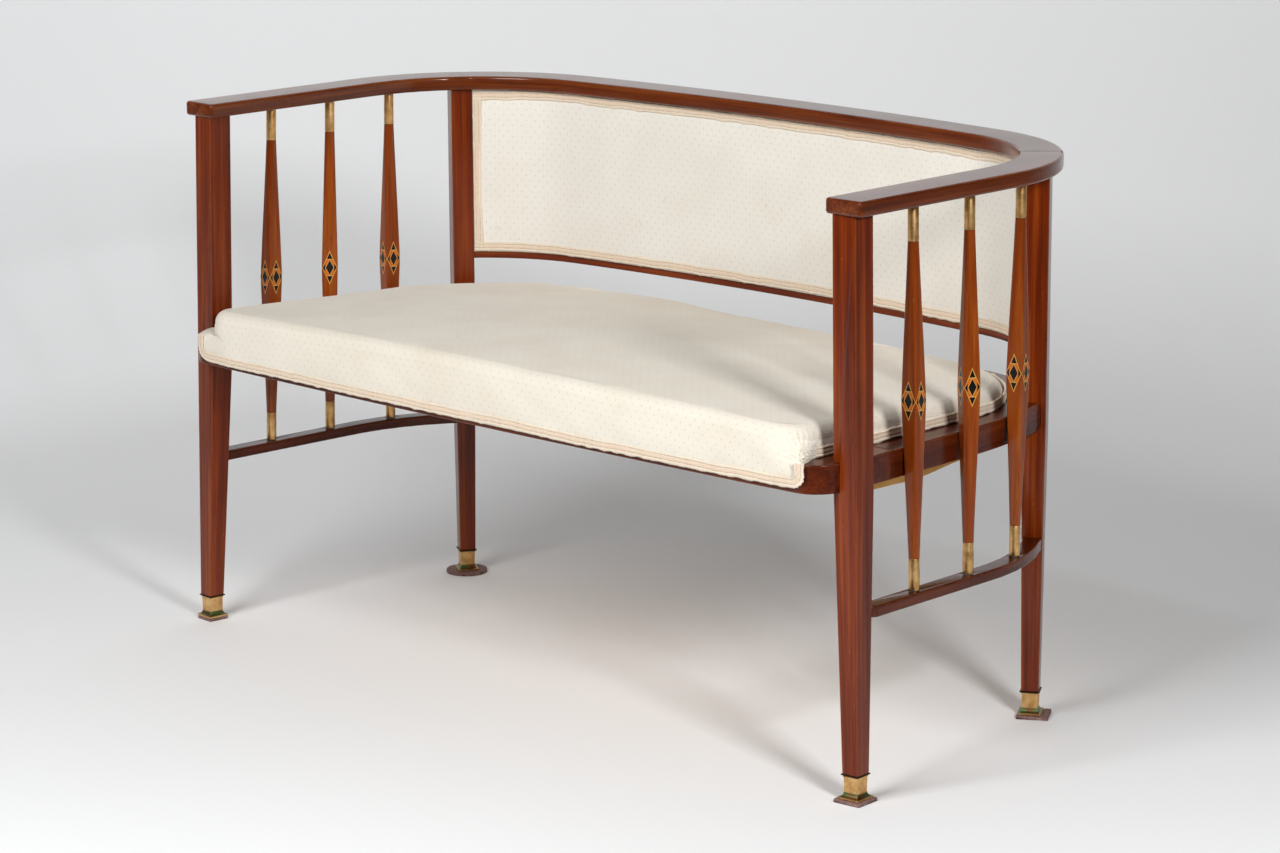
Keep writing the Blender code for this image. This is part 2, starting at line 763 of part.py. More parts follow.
def corner_outline():
    """The rounded corner of the seat frame on the right, from its front joint to its side joint."""
    outer = front_line(FRONT_RAIL_JOINT + GAP / 2, SEAT_CORNER_X, steps=2)[:-1]
    outer += seat_corner_arc()
    path, joint = seat_side_path(), seat_side_joint() + GAP / 2
    outer += seat_side_line(reach(path, FRONT_LEG_Y), joint, 3)
    inner_end = seat_side_line(joint, joint, 1, -SEAT_RAIL_WIDTH)[0]
    inner_y = seat_front_y(FRONT_RAIL_JOINT) + SEAT_RAIL_WIDTH
    inner = [inner_end, (inner_end[0], inner_y), (FRONT_RAIL_JOINT + GAP / 2, inner_y)]
    return outer + inner


def make_corner(word, wood, legs):
    """A corner block, and the housing for it that is cut in the front leg."""
    side = SIDES[word]
    block = prism(
        f"seat_corner_{word}", mirrored(corner_outline(), side), SEAT_BOTTOM, SEAT_TOP, wood
    )
    soften(block, SEAT_RAIL_ROUNDING)
    arc = seat_corner_arc(GAP)
    path = seat_side_path()
    last = reach(path, FRONT_LEG_Y + FRONT_LEG_SIZE)
    rear = seat_side_line(reach(path, FRONT_LEG_Y), last, 1, GAP)
    outline = arc[len(arc) // 2 :] + rear
    inward = np.array([FRONT_LEG_SIZE, 0.0])
    outline += [rear[-1] - inward, arc[len(arc) // 2] - inward]
    hole = prism(f"housing {word}", mirrored(outline, side), SEAT_BOTTOM - GAP, SEAT_TOP + GAP)
    cut(legs["front", word], hole)


def make_side_rail(word, wood, legs):
    """From the corner block to the back leg, where its end follows the leg's turned face."""
    side = SIDES[word]
    face, forward = leg_face("right", "back", SEAT_TOP)
    across = np.array([-forward[1], forward[0]])
    start = face + forward * GAP
    joint = seat_side_joint() - GAP / 2
    first = SEAT_RAIL_WIDTH * SIDE_END_SHARE
    outer = seat_side_line(joint, GAP, 14)
    inner = seat_side_line(first, joint, 10, -SEAT_RAIL_WIDTH)
    end = start + across * (SEAT_SIDE_REACH - SEAT_RAIL_WIDTH)
    outline = mirrored(outer + [end] + inner, side)
    rail = prism(f"seat_rail_{word}", outline, SEAT_BOTTOM, SEAT_TOP, wood)
    soften(rail, SEAT_RAIL_ROUNDING)
    face, forward = leg_face(word, "back", SEAT_TOP)
    tenon(rail, legs["back", word], face + forward * GAP, -forward, BACK_LEG_SIZE, SEAT_BOTTOM, SEAT_TOP)


def make_back_rail(wood, legs):
    """Between the back legs, on the same curve as the crest rail."""
    last = back_span()
    places = stops(-last, last, ALL_STEPS)
    outer = [beside_rail(d, SEAT_BACK_OUTSET) for d in places]
    inner = [beside_rail(d, SEAT_BACK_OUTSET - SEAT_RAIL_WIDTH) for d in places[::-1]]
    rail = prism("seat_rail_back", outer + inner, SEAT_BOTTOM, SEAT_TOP, wood)
    soften(rail, SEAT_RAIL_ROUNDING)
    fit_between_back_legs(rail, SEAT_BOTTOM, SEAT_TOP)
    tenon_to_back_legs(rail, legs, BACK_LEG_SIZE, SEAT_BOTTOM, SEAT_TOP)


def back_span():
    """How far from the middle the pieces between the back legs are made, before they are fitted."""
    return BACK_LEG_AT - CUT_OVERRUN


def clear_of_leg(obj, end, word, low, high):
    """Cuts away what would reach into a leg between two heights."""
    place, full, _, turn = LEG_KINDS[end]
    side, size = SIDES[word], full + 2 * GAP
    section = rounded_section(size, size, LEG_ROUNDING, 2)
    rings = [
        post_ring(place(z, side, full), turn, side, section, z)
        for z in (low - CUT_OVERRUN, high + CUT_OVERRUN)
    ]
    cut(obj, loft(f"{obj.name} beside {end} leg {word}", rings))


def fit_between_back_legs(obj, low, high):
    """Cuts both ends of a piece to the faces of the back legs."""
    for word in SIDES:
        clear_of_leg(obj, "back", word, low, high)


def tenon_to_back_legs(rail, legs, width, low, high):
    for word in SIDES:
        face, rearward = leg_face(word, "back", high, behind=True)
        tenon(rail, legs["back", word], face + rearward * GAP, -rearward, width, low, high)


def make_brace(wood):
    """The rail across the middle of the frame, which parts the webbing into two bays."""
    front = seat_front_y(0.0) + SEAT_RAIL_WIDTH + GAP
    back = BACK_LINE_DEPTH + SEAT_BACK_OUTSET - SEAT_RAIL_WIDTH - GAP
    half = BRACE_WIDTH / 2
    outline = [(-half, front), (half, front), (half, back), (-half, back)]
    top = SEAT_TOP - BRACE_DROP
    prism("seat_cross_brace", outline, top - BRACE_HEIGHT, top, wood)


# Webbing, canvas and stuffing


def inner_edge(grow):
    """The frame's inner edge at the side and back on the right, moved out by grow, by x."""
    path = seat_side_path()
    last = seat_side_joint()
    side = seat_side_line(last, SEAT_RAIL_WIDTH, 12, grow - SEAT_RAIL_WIDTH)
    back = [
        beside_rail(d, SEAT_BACK_OUTSET - SEAT_RAIL_WIDTH + grow)
        for d in np.linspace(BACK_LEG_AT - SEAT_RAIL_WIDTH, 0.0, 16)
    ]
    line = np.array(side + back)
    return line[np.argsort(line[:, 0])]


def bay_depths(x, grow):
    """Front and back limits of one bay at a place across the seat."""
    line = inner_edge(grow)
    front = seat_front_y(x) + SEAT_RAIL_WIDTH - grow
    return front, float(np.interp(abs(x), line[:, 0], line[:, 1]))


def bay_widths(grow):
    """Limits of one bay on the right: the brace, and the side rail where it is furthest in."""
    rear = seat_side_line(SEAT_RAIL_WIDTH, SEAT_RAIL_WIDTH, 1, -SEAT_RAIL_WIDTH)[0]
    return BRACE_WIDTH / 2 - grow, rear[0] - BAY_INSET + grow


def sag(x, y, depth):
    """Nothing at the frame, and depth in the middle of the bay."""
    near, far = bay_widths(0.0)
    front, back = bay_depths(min(x, far), 0.0)
    a = min(1.0, abs(2 * (x - near) / (far - near) - 1))
    b = min(1.0, abs(2 * (y - front) / (back - front) - 1))
    return depth * (1 - a * a) * (1 - b * b)


def sheet(name, side, us, vs, keep, point, material):
    """A thin closed sheet over a grid, with a hole at each cell that isn't kept."""
    wide, deep = len(us), len(vs)
    points = [point(u, v, layer) for layer in (0, 1) for v in vs for u in us]
    points = [(side * x, y, z) for x, y, z in points]

    def corner(i, j, layer):
        return layer * wide * deep + j * wide + i

    cells = {(i, j) for i in range(wide - 1) for j in range(deep - 1) if keep(i, j)}
    faces = []
    for i, j in cells:
        loop = [(i, j), (i + 1, j), (i + 1, j + 1), (i, j + 1)]
        faces.append([corner(*c, 0) for c in (loop[0], *loop[:0:-1])])
        faces.append([corner(*c, 1) for c in loop])
        near = [(i, j - 1), (i + 1, j), (i, j + 1), (i - 1, j)]
        for n, neighbour in enumerate(near):
            if neighbour not in cells:
                a, b = loop[n], loop[(n + 1) % 4]
                faces.append([corner(*a, 0), corner(*b, 0), corner(*b, 1), corner(*a, 1)])
    used = sorted({k for face in faces for k in face})
    number = {k: n for n, k in enumerate(used)}
    faces = [[number[k] for k in face] for face in faces]
    return make_object(name, [points[k] for k in used], faces, material)


def bay_point(u, v, grow):
    near, far = bay_widths(grow)
    x = near + (far - near) * u
    front, back = bay_depths(x, grow)
    return x, front + (back - front) * v


def strap_lines(count):
    """Both edges and the middle of each evenly spaced strap, as shares of the way across."""
    lines = {0.0, 1.0}
    for n in range(count):
        middle = (n + 0.5) / count
        lines |= {middle - WEB_SHARE / count / 2, middle, middle + WEB_SHARE / count / 2}
    return sorted(lines)


def in_strap(share, count):
    """Whether a share of the way lies on one of the evenly spaced straps."""
    within = (share * count) % 1.0
    return abs(within - 0.5) < WEB_SHARE / 2


def sagging_sheet(name, word, top, thickness, keep, material):
    """A sheet tacked below the frame round one bay. Webbing and canvas share its grid."""
    us, vs = strap_lines(WEBS_ACROSS), strap_lines(WEBS_DEEP)

    def point(u, v, layer):
        x, y = bay_point(u, v, WEB_OVERLAP)
        return x, y, top - thickness * layer - sag(x, y, WEB_SAG)

    def kept(i, j):
        return keep((us[i] + us[i + 1]) / 2, (vs[j] + vs[j + 1]) / 2)

    sheet(f"{name}_{word}", SIDES[word], us, vs, kept, point, material)


def make_webbing(word, jute):
    """Interlaced straps of one bay, as one lattice."""

    def on_strap(u, v):
        return in_strap(u, WEBS_ACROSS) or in_strap(v, WEBS_DEEP)

    sagging_sheet("seat_webbing", word, SEAT_BOTTOM - GAP, WEB_THICKNESS, on_strap, jute)


def make_canvas(word, canvas):
    """The cover below the webbing, which sags with it."""
    top = SEAT_BOTTOM - GAP - WEB_THICKNESS - GAP
    sagging_sheet("bottom_canvas", word, top, CANVAS_THICKNESS, lambda u, v: True, canvas)


def make_stuffing(word, hair):
    """What fills a bay from the webbing up to the cushion."""
    lines = list(np.linspace(0.0, 1.0, 8))

    def point(u, v, layer):
        x, y = bay_point(u, v, -STUFFING_SETBACK)
        low = SEAT_BOTTOM + STUFFING_LIFT - sag(x, y, WEB_SAG)
        return x, y, SEAT_TOP if layer else low

    sheet(f"seat_stuffing_{word}", SIDES[word], lines, lines, lambda i, j: True, point, hair)


# Seat cushion


def cushion_inset(distance):
    """How far inside the rail line the cushion's edge runs: more at the sides than at the back."""
    share = min(1.0, max(0.0, (BACK_LEG_AT - distance) / SPINDLE_PITCH))
    return CUSHION_SIDE_INSET + (CUSHION_BACK_INSET - CUSHION_SIDE_INSET) * share


def cushion_outline():
    """The cushion's edge seen from above, all round, as an array of points."""
    centre_x = CUSHION_HALF_WIDTH - CUSHION_CORNER
    centre_y = seat_front_y(centre_x) - CUSHION_COVER + CUSHION_CORNER
    places = np.linspace(0.0, FRONT_LEG_AT, 22)
    half = [beside_rail(d, -cushion_inset(d)) for d in places]
    for angle in np.linspace(math.pi / 2, 0.0, 7):
        arc = np.array([math.sin(angle), -math.cos(angle)]) * CUSHION_CORNER
        half.append(np.array([centre_x, centre_y]) + arc)
    for x in np.linspace(centre_x, 0.0, 9)[1:]:
        half.append(np.array([x, seat_front_y(x) - CUSHION_COVER]))
    half = np.array(half)
    left = half[1:-1][::-1] * np.array([-1.0, 1.0])
    return np.concatenate([half, left])


def cushion_height(x, y):
    """The top falls towards the back and the sides, and is crowned in the middle."""
    share = np.clip((y - SEAT_FRONT_Y) / (BACK_LINE_DEPTH - SEAT_FRONT_Y), 0.0, 1.0)
    fall = CUSHION_FRONT_HEIGHT + (CUSHION_BACK_HEIGHT - CUSHION_FRONT_HEIGHT) * share
    across = np.clip(1 - (x / CUSHION_HALF_WIDTH) ** 2, 0.0, 1.0)
    along = np.clip(1 - (2 * share - 1) ** 2, 0.0, 1.0)
    return fall - CUSHION_SIDE_FALL * (1 - across) + CUSHION_CROWN * across * along


def inward_normals(outline):
    along = np.roll(outline, -1, axis=0) - np.roll(outline, 1, axis=0)
    along /= np.linalg.norm(along, axis=1)[:, None]
    return np.column_stack([along[:, 1], -along[:, 0]])


def cushion_rings():
    outline = cushion_outline()
    inward = inward_normals(outline)
    base = SEAT_TOP + GAP
    edge = cushion_height(*outline.T)
    shoulder = np.minimum(CUSHION_SHOULDER, edge * SHOULDER_SHARE)
    rise = edge - shoulder
    level = 0.0 * rise
    levels = [(level + CUSHION_TUCK, level), (level, 0.3 * rise), (level - CUSHION_BULGE, 0.75 * rise)]
    for angle in (math.radians(a) for a in (10, 35, 60, 85)):
        inset = shoulder * (1 - math.cos(angle)) - CUSHION_BULGE
        levels.append((inset, rise + shoulder * math.sin(angle)))
    rings = []
    for inset, height in levels:
        flat = outline + inward * inset[:, None]
        rings.append(np.column_stack([flat, base + height]))
    middle = rings[-1][:, :2].mean(axis=0)
    shoulder = rings[-1]
    for share in (0.88, 0.7, 0.5, 0.3, 0.12):
        flat = middle + (shoulder[:, :2] - middle) * share
        top = base + cushion_height(*flat.T)
        rings.append(np.column_stack([flat, top]))
    return rings


def make_cushion(cloth):
    cushion = loft("seat_cushion", [list(map(tuple, ring)) for ring in cushion_rings()], cloth)
    join(cushion, make_skirt())
    join(cushion, make_corner_cover())
    clear_of_leg(cushion, "front", "left", SEAT_TOP - SKIRT_DROP, SEAT_TOP + SKIRT_RISE)


def skirt_line(grow):
    """The cover's lower edge: round the left corner to the leg, and short of the right corner."""
    corner = mirrored(seat_corner_arc(grow), -1)
    front = [(x, seat_front_y(x) - grow) for x in np.linspace(-SEAT_CORNER_X, SKIRT_REACH, 15)]
    front = [(x, y) for x, y in front if x < SEAT_CORNER_X]
    last = seat_corner_arc(grow, SKIRT_REACH)
    return corner + front[1:] + last


def make_skirt():
    """The cover's front edge, pulled down over the front rail."""
    outline = skirt_line(CUSHION_COVER) + skirt_line(GAP)[::-1]
    return prism("skirt", outline, SEAT_TOP - SKIRT_DROP, SEAT_TOP + SKIRT_RISE)


def make_corner_cover():
    """On the left the cover goes on over the frame's corner, up to the leg."""
    outline = mirrored(seat_corner_arc(CUSHION_COVER), -1)
    inner_x = -CUSHION_HALF_WIDTH + CUSHION_CORNER
    outline += [(inner_x, outline[-1][1]), (inner_x, outline[0][1])]
    return prism("corner cover", outline, SEAT_TOP + GAP, SEAT_TOP + SKIRT_RISE)


# Back panel


def make_lower_rail(wood, legs):
    middle = LOWER_RAIL_BOTTOM + LOWER_RAIL_HEIGHT / 2
    section = rounded_section(LOWER_RAIL_THICKNESS, LOWER_RAIL_HEIGHT, LOWER_RAIL_ROUNDING, 2)
    section = [(across - LOWER_RAIL_INSET, up + middle) for across, up in section]
    rail = sweep_back("lower_back_rail", lambda _: section, wood)
    top = LOWER_RAIL_BOTTOM + LOWER_RAIL_HEIGHT
    tenon_to_back_legs(rail, legs, LOWER_RAIL_THICKNESS, LOWER_RAIL_BOTTOM, top)


def back_pad_heights():
    """The pad's lap over the lower rail, its seat on it, and its top under the crest."""
    seat = LOWER_RAIL_BOTTOM + LOWER_RAIL_HEIGHT + GAP
    return seat - BACK_PAD_OVERLAP, seat, RAIL_UNDERSIDE - GAP


def back_pad_section(crown):
    """Across from the rail line, and up. The margin below the braid stays flat."""
    low, seat, high = back_pad_heights()
    lap_in = -LOWER_RAIL_INSET - LOWER_RAIL_THICKNESS / 2 - GAP
    points = [(BACK_PAD_REAR, high), (BACK_PAD_REAR, seat), (lap_in, seat), (lap_in, low)]
    points += [(-BACK_PAD_FRONT, low)]
    bottom, top = low + BRAID_WIDTH, high - BRAID_WIDTH
    for share in np.linspace(0.0, 1.0, 9):
        swell = math.sin(math.pi * share) ** CROWN_POWER if 0 < share < 1 else 0.0
        points.append((-BACK_PAD_FRONT - crown * swell, bottom + (top - bottom) * share))
    points.append((-BACK_PAD_FRONT, high))
    return points[::-1]


def back_stops():
    """Places along the back between the legs, closer together at both ends."""
    last = back_span()
    margin = BACK_LEG_SIZE / 2 - CUT_OVERRUN + BRAID_WIDTH
    ends = [last, last - margin, last - 2 * margin]
    inner = [d for d in stops(-last, last, ALL_STEPS) if abs(d) < last - 3 * margin]
    return [-d for d in ends] + inner + ends[::-1]


def sweep_back(name, section_at, material):
    """A section carried round the back between the legs. It may depend on the place."""
    rings = [ring_at(*rail_frame(d), section_at(d), 0.0) for d in back_stops()]
    piece = loft(name, rings, material)
    fit_between_back_legs(piece, LOWER_RAIL_BOTTOM, RAIL_UNDERSIDE)
    return piece


def back_crown(distance):
    """The crown starts inside the braid at each end."""
    start = BACK_LEG_AT - BACK_LEG_SIZE / 2 - BRAID_WIDTH
    share = (start - abs(distance)) / CROWN_RUN
    return BACK_PAD_CROWN * math.sin(min(1.0, max(0.0, share)) * math.pi / 2)


def make_back_panel(cloth, rear_cloth):
    sweep_back("back_cushion", lambda d: back_pad_section(back_crown(d)), cloth)
    _, seat, high = back_pad_heights()
    near = BACK_PAD_REAR + GAP
    far = near + REAR_COVER_THICKNESS
    section = [(near, seat), (far, seat), (far, high), (near, high)]
    sweep_back("back_rear_cover", lambda _: section, rear_cloth)


# Braid


def make_back_braid(braid):
    """A flat frame of braid along the four edges of the back panel."""
    low, _, high = back_pad_heights()
    places = back_stops()
    heights = [low, low + BRAID_WIDTH, high - BRAID_WIDTH, high]
    near = BACK_PAD_FRONT + GAP

    def keep(i, j):
        return i in (0, len(places) - 2) or j in (0, 2)

    def point(distance, height, layer):
        flat = beside_rail(distance, -near - BRAID_THICKNESS * layer)
        return flat[0], flat[1], height

    frame = sheet("back_braid", 1, places, heights, keep, point, braid)
    fit_between_back_legs(frame, low, high)


def make_front_braid(braid):
    """Along the lower edge of the seat's cover."""
    near = CUSHION_COVER + GAP
    outline = skirt_line(near + BRAID_THICKNESS) + skirt_line(near)[::-1]
    low = SEAT_TOP - SKIRT_DROP
    strip = prism("seat_braid_front", outline, low, low + BRAID_WIDTH, braid)
    clear_of_leg(strip, "front", "left", low, low + BRAID_WIDTH)


def make_around_braid(braid):
    """On the frame, round the foot of the cushion's sides and back."""
    low, near = SEAT_TOP + GAP, CUSHION_BULGE + GAP
    far = near + BRAID_THICKNESS
    section = [(near, low), (far, low), (far, low + BRAID_WIDTH), (near, low + BRAID_WIDTH)]
    rings = []
    for distance in stops(-FRONT_LEG_AT, FRONT_LEG_AT, ALL_STEPS):
        point, outward = rail_frame(distance)
        edge = point - outward * cushion_inset(abs(distance))
        rings.append(ring_at(edge, outward, section, 0.0))
    loft("seat_braid_around", rings, braid)


def centre_all():
    """Hangs every piece on one empty, which brings the middle of the whole to the origin."""
    middle = bpy.data.objects.new("middle", None)
    middle.location.y = CENTRE_SHIFT
    bpy.context.scene.collection.objects.link(middle)
    for obj in bpy.data.objects:
        if obj.type == "MESH":
            obj.parent = middle


def main():
    clear_scene()
    mahogany = make_material("mahogany", (0.20, 0.045, 0.018), 0.28)
    light_mahogany = make_material("spindle mahogany", (0.33, 0.095, 0.025), 0.30)
    brass = make_material("aged brass", (0.62, 0.41, 0.14), 0.35, 1.0)
    felt = make_material("glide pad", (0.16, 0.10, 0.085), 0.85)
    cloth = make_material("cream ribbed cloth", (0.76, 0.71, 0.60), 0.75)
    braid = make_material("cream braid", (0.78, 0.66, 0.52), 0.85)
    canvas = make_material("ochre canvas", (0.55, 0.33, 0.08), 0.85)
    jute = make_material("jute webbing", (0.42, 0.30, 0.16), 0.90)
    hair = make_material("hair stuffing", (0.13, 0.10, 0.08), 0.95)
    beech = make_material("frame beech", (0.52, 0.36, 0.21), 0.60)

    rails = make_rails(mahogany)
    legs = make_legs(mahogany, rails)
    make_feet(brass)
    make_pads(felt)
    stretchers = {word: make_stretcher(word, mahogany, legs) for word in SIDES}
    make_spindles(light_mahogany, brass, rails, stretchers)
    make_front_rail(mahogany)
    make_back_rail(mahogany, legs)
    for word in SIDES:
        make_corner(word, mahogany, legs)
        make_side_rail(word, mahogany, legs)
        make_webbing(word, jute)
        make_canvas(word, canvas)
        make_stuffing(word, hair)
    make_brace(beech)
    make_cushion(cloth)
    make_lower_rail(mahogany, legs)
    make_back_panel(cloth, canvas)
    make_back_braid(braid)
    make_front_braid(braid)
    make_around_braid(braid)
    centre_all()


main()
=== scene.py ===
# %% [markdown]
# # A settee with one curved rail for its arms and its back
#
# The imported model gives every solid its true place. This script gives the pieces their looks:
# polished mahogany with inlaid spindles, aged brass, ribbed cream cloth and three-cord braid.
# It starts by loading the imported model, whose pieces give the places and sizes below.

# %% Load the imported model
import math

import bmesh
import bpy
import numpy as np
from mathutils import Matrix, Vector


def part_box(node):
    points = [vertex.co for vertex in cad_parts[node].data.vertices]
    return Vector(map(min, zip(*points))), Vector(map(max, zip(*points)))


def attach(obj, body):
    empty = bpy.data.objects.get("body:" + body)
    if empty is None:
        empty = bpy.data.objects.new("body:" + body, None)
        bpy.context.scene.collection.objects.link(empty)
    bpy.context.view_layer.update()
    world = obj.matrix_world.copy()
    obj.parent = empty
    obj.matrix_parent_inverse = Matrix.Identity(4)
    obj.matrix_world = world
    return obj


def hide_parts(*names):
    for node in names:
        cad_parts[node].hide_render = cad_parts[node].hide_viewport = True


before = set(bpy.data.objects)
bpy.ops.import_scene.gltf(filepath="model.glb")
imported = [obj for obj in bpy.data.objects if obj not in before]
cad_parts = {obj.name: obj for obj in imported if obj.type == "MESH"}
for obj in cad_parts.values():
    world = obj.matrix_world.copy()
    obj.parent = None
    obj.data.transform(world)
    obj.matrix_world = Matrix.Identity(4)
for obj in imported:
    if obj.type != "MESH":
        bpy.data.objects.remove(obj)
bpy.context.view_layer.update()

# %% [markdown]
# ## The line that everything follows
#
# Seen from above, the rail is a shallow arc at the back, a tight bend at each corner and a nearly
# straight arm. The cushion, the back panel and their braid run beside that line, so it comes
# first, as a formula that takes a whole array of distances at once.

# %% The rail's line
BACK_RADIUS = 3.57
BACK_HALF_LENGTH = 0.384
CORNER_RADIUS = 0.237
ARM_SPLAY = math.radians(0.75)
CORNER_TURN = math.pi / 2 - ARM_SPLAY - BACK_HALF_LENGTH / BACK_RADIUS
CORNER_LENGTH = CORNER_RADIUS * CORNER_TURN
ARM_LENGTH = 0.2993
FRONT_LEG_SETBACK = 0.0224
SPINDLE_PITCH = 0.1085
TIP_AT = BACK_HALF_LENGTH + CORNER_LENGTH + ARM_LENGTH
FRONT_LEG_AT = TIP_AT - FRONT_LEG_SETBACK
BACK_LEG_AT = FRONT_LEG_AT - 4 * SPINDLE_PITCH
RAIL_WIDTH = 0.057
RAIL_THICKNESS = 0.020
RAIL_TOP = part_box("crest_rail")[1][2]
RAIL_UNDERSIDE = RAIL_TOP - RAIL_THICKNESS
BACK_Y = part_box("crest_rail")[1][1] - RAIL_WIDTH / 2
BACK_LINE_DEPTH = 0.530
ORIGIN_Y = BACK_Y - BACK_LINE_DEPTH
GAP = 0.0003


def rail_line(distance):
    """Points and outward directions at distances from the middle of the back, right side positive.

    Each distance is split over the shallow arc, the bend and the straight arm, and the three
    shifts are added.
    """
    distance = np.asarray(distance, float)
    side = np.where(distance < 0, -1.0, 1.0)
    away = np.abs(distance)
    first = np.minimum(away, BACK_HALF_LENGTH) / BACK_RADIUS
    bend = np.clip(away - BACK_HALF_LENGTH, 0.0, CORNER_LENGTH) / CORNER_RADIUS
    arm = np.maximum(away - BACK_HALF_LENGTH - CORNER_LENGTH, 0.0)
    heading = first + bend
    x = BACK_RADIUS * np.sin(first) + CORNER_RADIUS * (np.sin(heading) - np.sin(first))
    y = -BACK_RADIUS * (1 - np.cos(first)) - CORNER_RADIUS * (np.cos(first) - np.cos(heading))
    x = x + arm * np.cos(heading)
    y = y - arm * np.sin(heading)
    points = np.stack([side * x, y + BACK_Y], axis=-1)
    outward = np.stack([side * np.sin(heading), np.cos(heading)], axis=-1)
    return points, outward


def beside_rail(distance, offset):
    """Points a signed offset outward of the rail's line."""
    points, outward = rail_line(distance)
    return points + outward * np.asarray(offset)[..., None]


print("front legs at", rail_line(FRONT_LEG_AT)[0].round(4))

# %% [markdown]
# ## Meshes from grids
#
# Every new piece is a grid of points worked out with numpy. The helpers below turn such a grid
# into faces, close its ends, and put points, faces and a UV map into one mesh whose object stays
# at the origin. Faces are turned outwards there too, so no piece can come out inside out.


# %% Mesh helpers
def grid_faces(rows, cols, wrap_rows=False, wrap_cols=False):
    """Quads over a grid whose point (i, j) has the number i * cols + j."""
    i, j = np.meshgrid(
        np.arange(rows if wrap_rows else rows - 1),
        np.arange(cols if wrap_cols else cols - 1),
        indexing="ij",
    )
    after_i, after_j = (i + 1) % rows, (j + 1) % cols
    quads = [i * cols + j, i * cols + after_j, after_i * cols + after_j, after_i * cols + j]
    return np.stack(quads, axis=-1).reshape(-1, 4)


def grid_corners(values):
    """The four corner values of each quad of a grid, in the order that grid_faces uses."""
    quads = [values[:-1, :-1], values[:-1, 1:], values[1:, 1:], values[1:, :-1]]
    return np.stack(quads, axis=-2).reshape(-1, 4, values.shape[-1])


def fix_normals(obj):
    """Turns all faces of a closed shell outwards."""
    work = bmesh.new()
    work.from_mesh(obj.data)
    bmesh.ops.recalc_face_normals(work, faces=work.faces)
    work.to_mesh(obj.data)
    work.free()


def make_piece(
    name, points, faces, material, slot, stands_for=None, uv=None, uv_name="weave", sharp=None
):
    """One closed piece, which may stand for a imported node.

    uv holds a pair for each corner of each face, and sharp is the angle past which an edge shows.
    """
    mesh = bpy.data.meshes.new(name)
    corners = np.asarray(points, float).reshape(-1, 3)
    mesh.from_pydata(corners.tolist(), [], [list(f) for f in faces])
    if uv is not None:
        layer = mesh.uv_layers.new(name=uv_name)
        flat = np.zeros((len(mesh.loops), 2), np.float32)
        flat[: uv.size // 2] = uv.reshape(-1, 2)
        layer.data.foreach_set("uv", flat.ravel())
    mesh.shade_smooth()
    if sharp is not None:
        mesh.set_sharp_from_angle(angle=math.radians(sharp))
    mesh.validate()
    obj = bpy.data.objects.new(name, mesh)
    bpy.context.scene.collection.objects.link(obj)
    mesh.materials.append(material)
    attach(obj, "root")
    fix_normals(obj)
    if stands_for:
        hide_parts(stands_for)
    return obj


def make_tube(name, rings, material, slot, **settings):
    """One piece from closed rings, one to a row, with a many-sided face at both ends."""
    rows, cols = rings.shape[:2]
    caps = [list(range(cols)), list(range((rows - 1) * cols, rows * cols))]
    faces = [*grid_faces(rows, cols, wrap_cols=True).tolist(), *caps]
    return make_piece(name, rings, faces, material, slot, **settings)


def ripple(x, y, seed, waves, shortest, longest):
    """A smooth unevenness between about -1 and 1: a sum of sine waves in seeded directions."""
    draw = np.random.default_rng(seed)
    total = np.zeros(np.broadcast(x, y).shape)
    for _ in range(waves):
        length = draw.uniform(shortest, longest)
        angle, phase = draw.uniform(0, 2 * math.pi, 2)
        total += np.sin(2 * math.pi * (x * math.cos(angle) + y * math.sin(angle)) / length + phase)
    return total / math.sqrt(waves) / 1.4


print("a grid of 3 by 4 points has", len(grid_faces(3, 4)), "faces")


# %% [markdown]
# ## Materials from nodes
#
# A finish is a small graph of nodes. These helpers name the few moves that all graphs share, so
# that a material below reads like a recipe. Colours are written as the eye sees them, from 0 to
# 255, and turned into the linear values that the shader takes.


# %% Node helpers
def linear(red, green, blue):
    """A display colour from 0 to 255 as a linear colour with alpha."""
    parts = [c / 255 for c in (red, green, blue)]
    return (*(c / 12.92 if c <= 0.04045 else ((c + 0.055) / 1.055) ** 2.4 for c in parts), 1.0)


def feed(tree, socket, value):
    """Gives an input another node's output, or a constant."""
    if isinstance(value, bpy.types.NodeSocket):
        tree.links.new(value, socket)
    else:
        socket.default_value = value


def node(tree, kind, sockets=None, **settings):
    """A shader node with its settings, and its inputs given as values or as other outputs."""
    made = tree.nodes.new("ShaderNode" + kind)
    for name, value in settings.items():
        setattr(made, name, value)
    for key, value in (sockets or {}).items():
        feed(tree, made.inputs[key], value)
    return made


def calc(tree, operation, *values):
    """One arithmetic step."""
    return node(tree, "Math", dict(enumerate(values)), operation=operation).outputs[0]


def noise(tree, place, scale, detail=3.0, roughness=0.55, stretch=None):
    """Cloudy noise from 0 to 1. stretch gives the scale along each axis of its own."""
    if stretch:
        place = node(tree, "VectorMath", {0: place, 1: stretch}, operation="MULTIPLY").outputs[0]
    sockets = {"Vector": place, "Scale": scale, "Detail": detail, "Roughness": roughness}
    return node(tree, "TexNoise", sockets).outputs["Fac"]


def span(tree, value, low, high):
    """0 below low, 1 above high and a soft step between. low may be the higher one."""
    sockets = {"Value": value, "From Min": low, "From Max": high}
    return node(tree, "MapRange", sockets, interpolation_type="SMOOTHSTEP").outputs["Result"]


def mixed(tree, factor, first, second):
    """The second colour laid over the first by a factor. Both sit on the node's colour sockets."""
    made = node(tree, "Mix", data_type="RGBA")
    for number, value in ((0, factor), (6, first), (7, second)):
        feed(tree, made.inputs[number], value)
    return made.outputs[2]


def product(tree, first, second):
    """Two values multiplied, such as a mask and its share."""
    return calc(tree, "MULTIPLY", first, second)


def tinted(tree, colour, over, where, share):
    """A share of a second colour laid over the first where a mask says."""
    return mixed(tree, product(tree, where, share), colour, over)


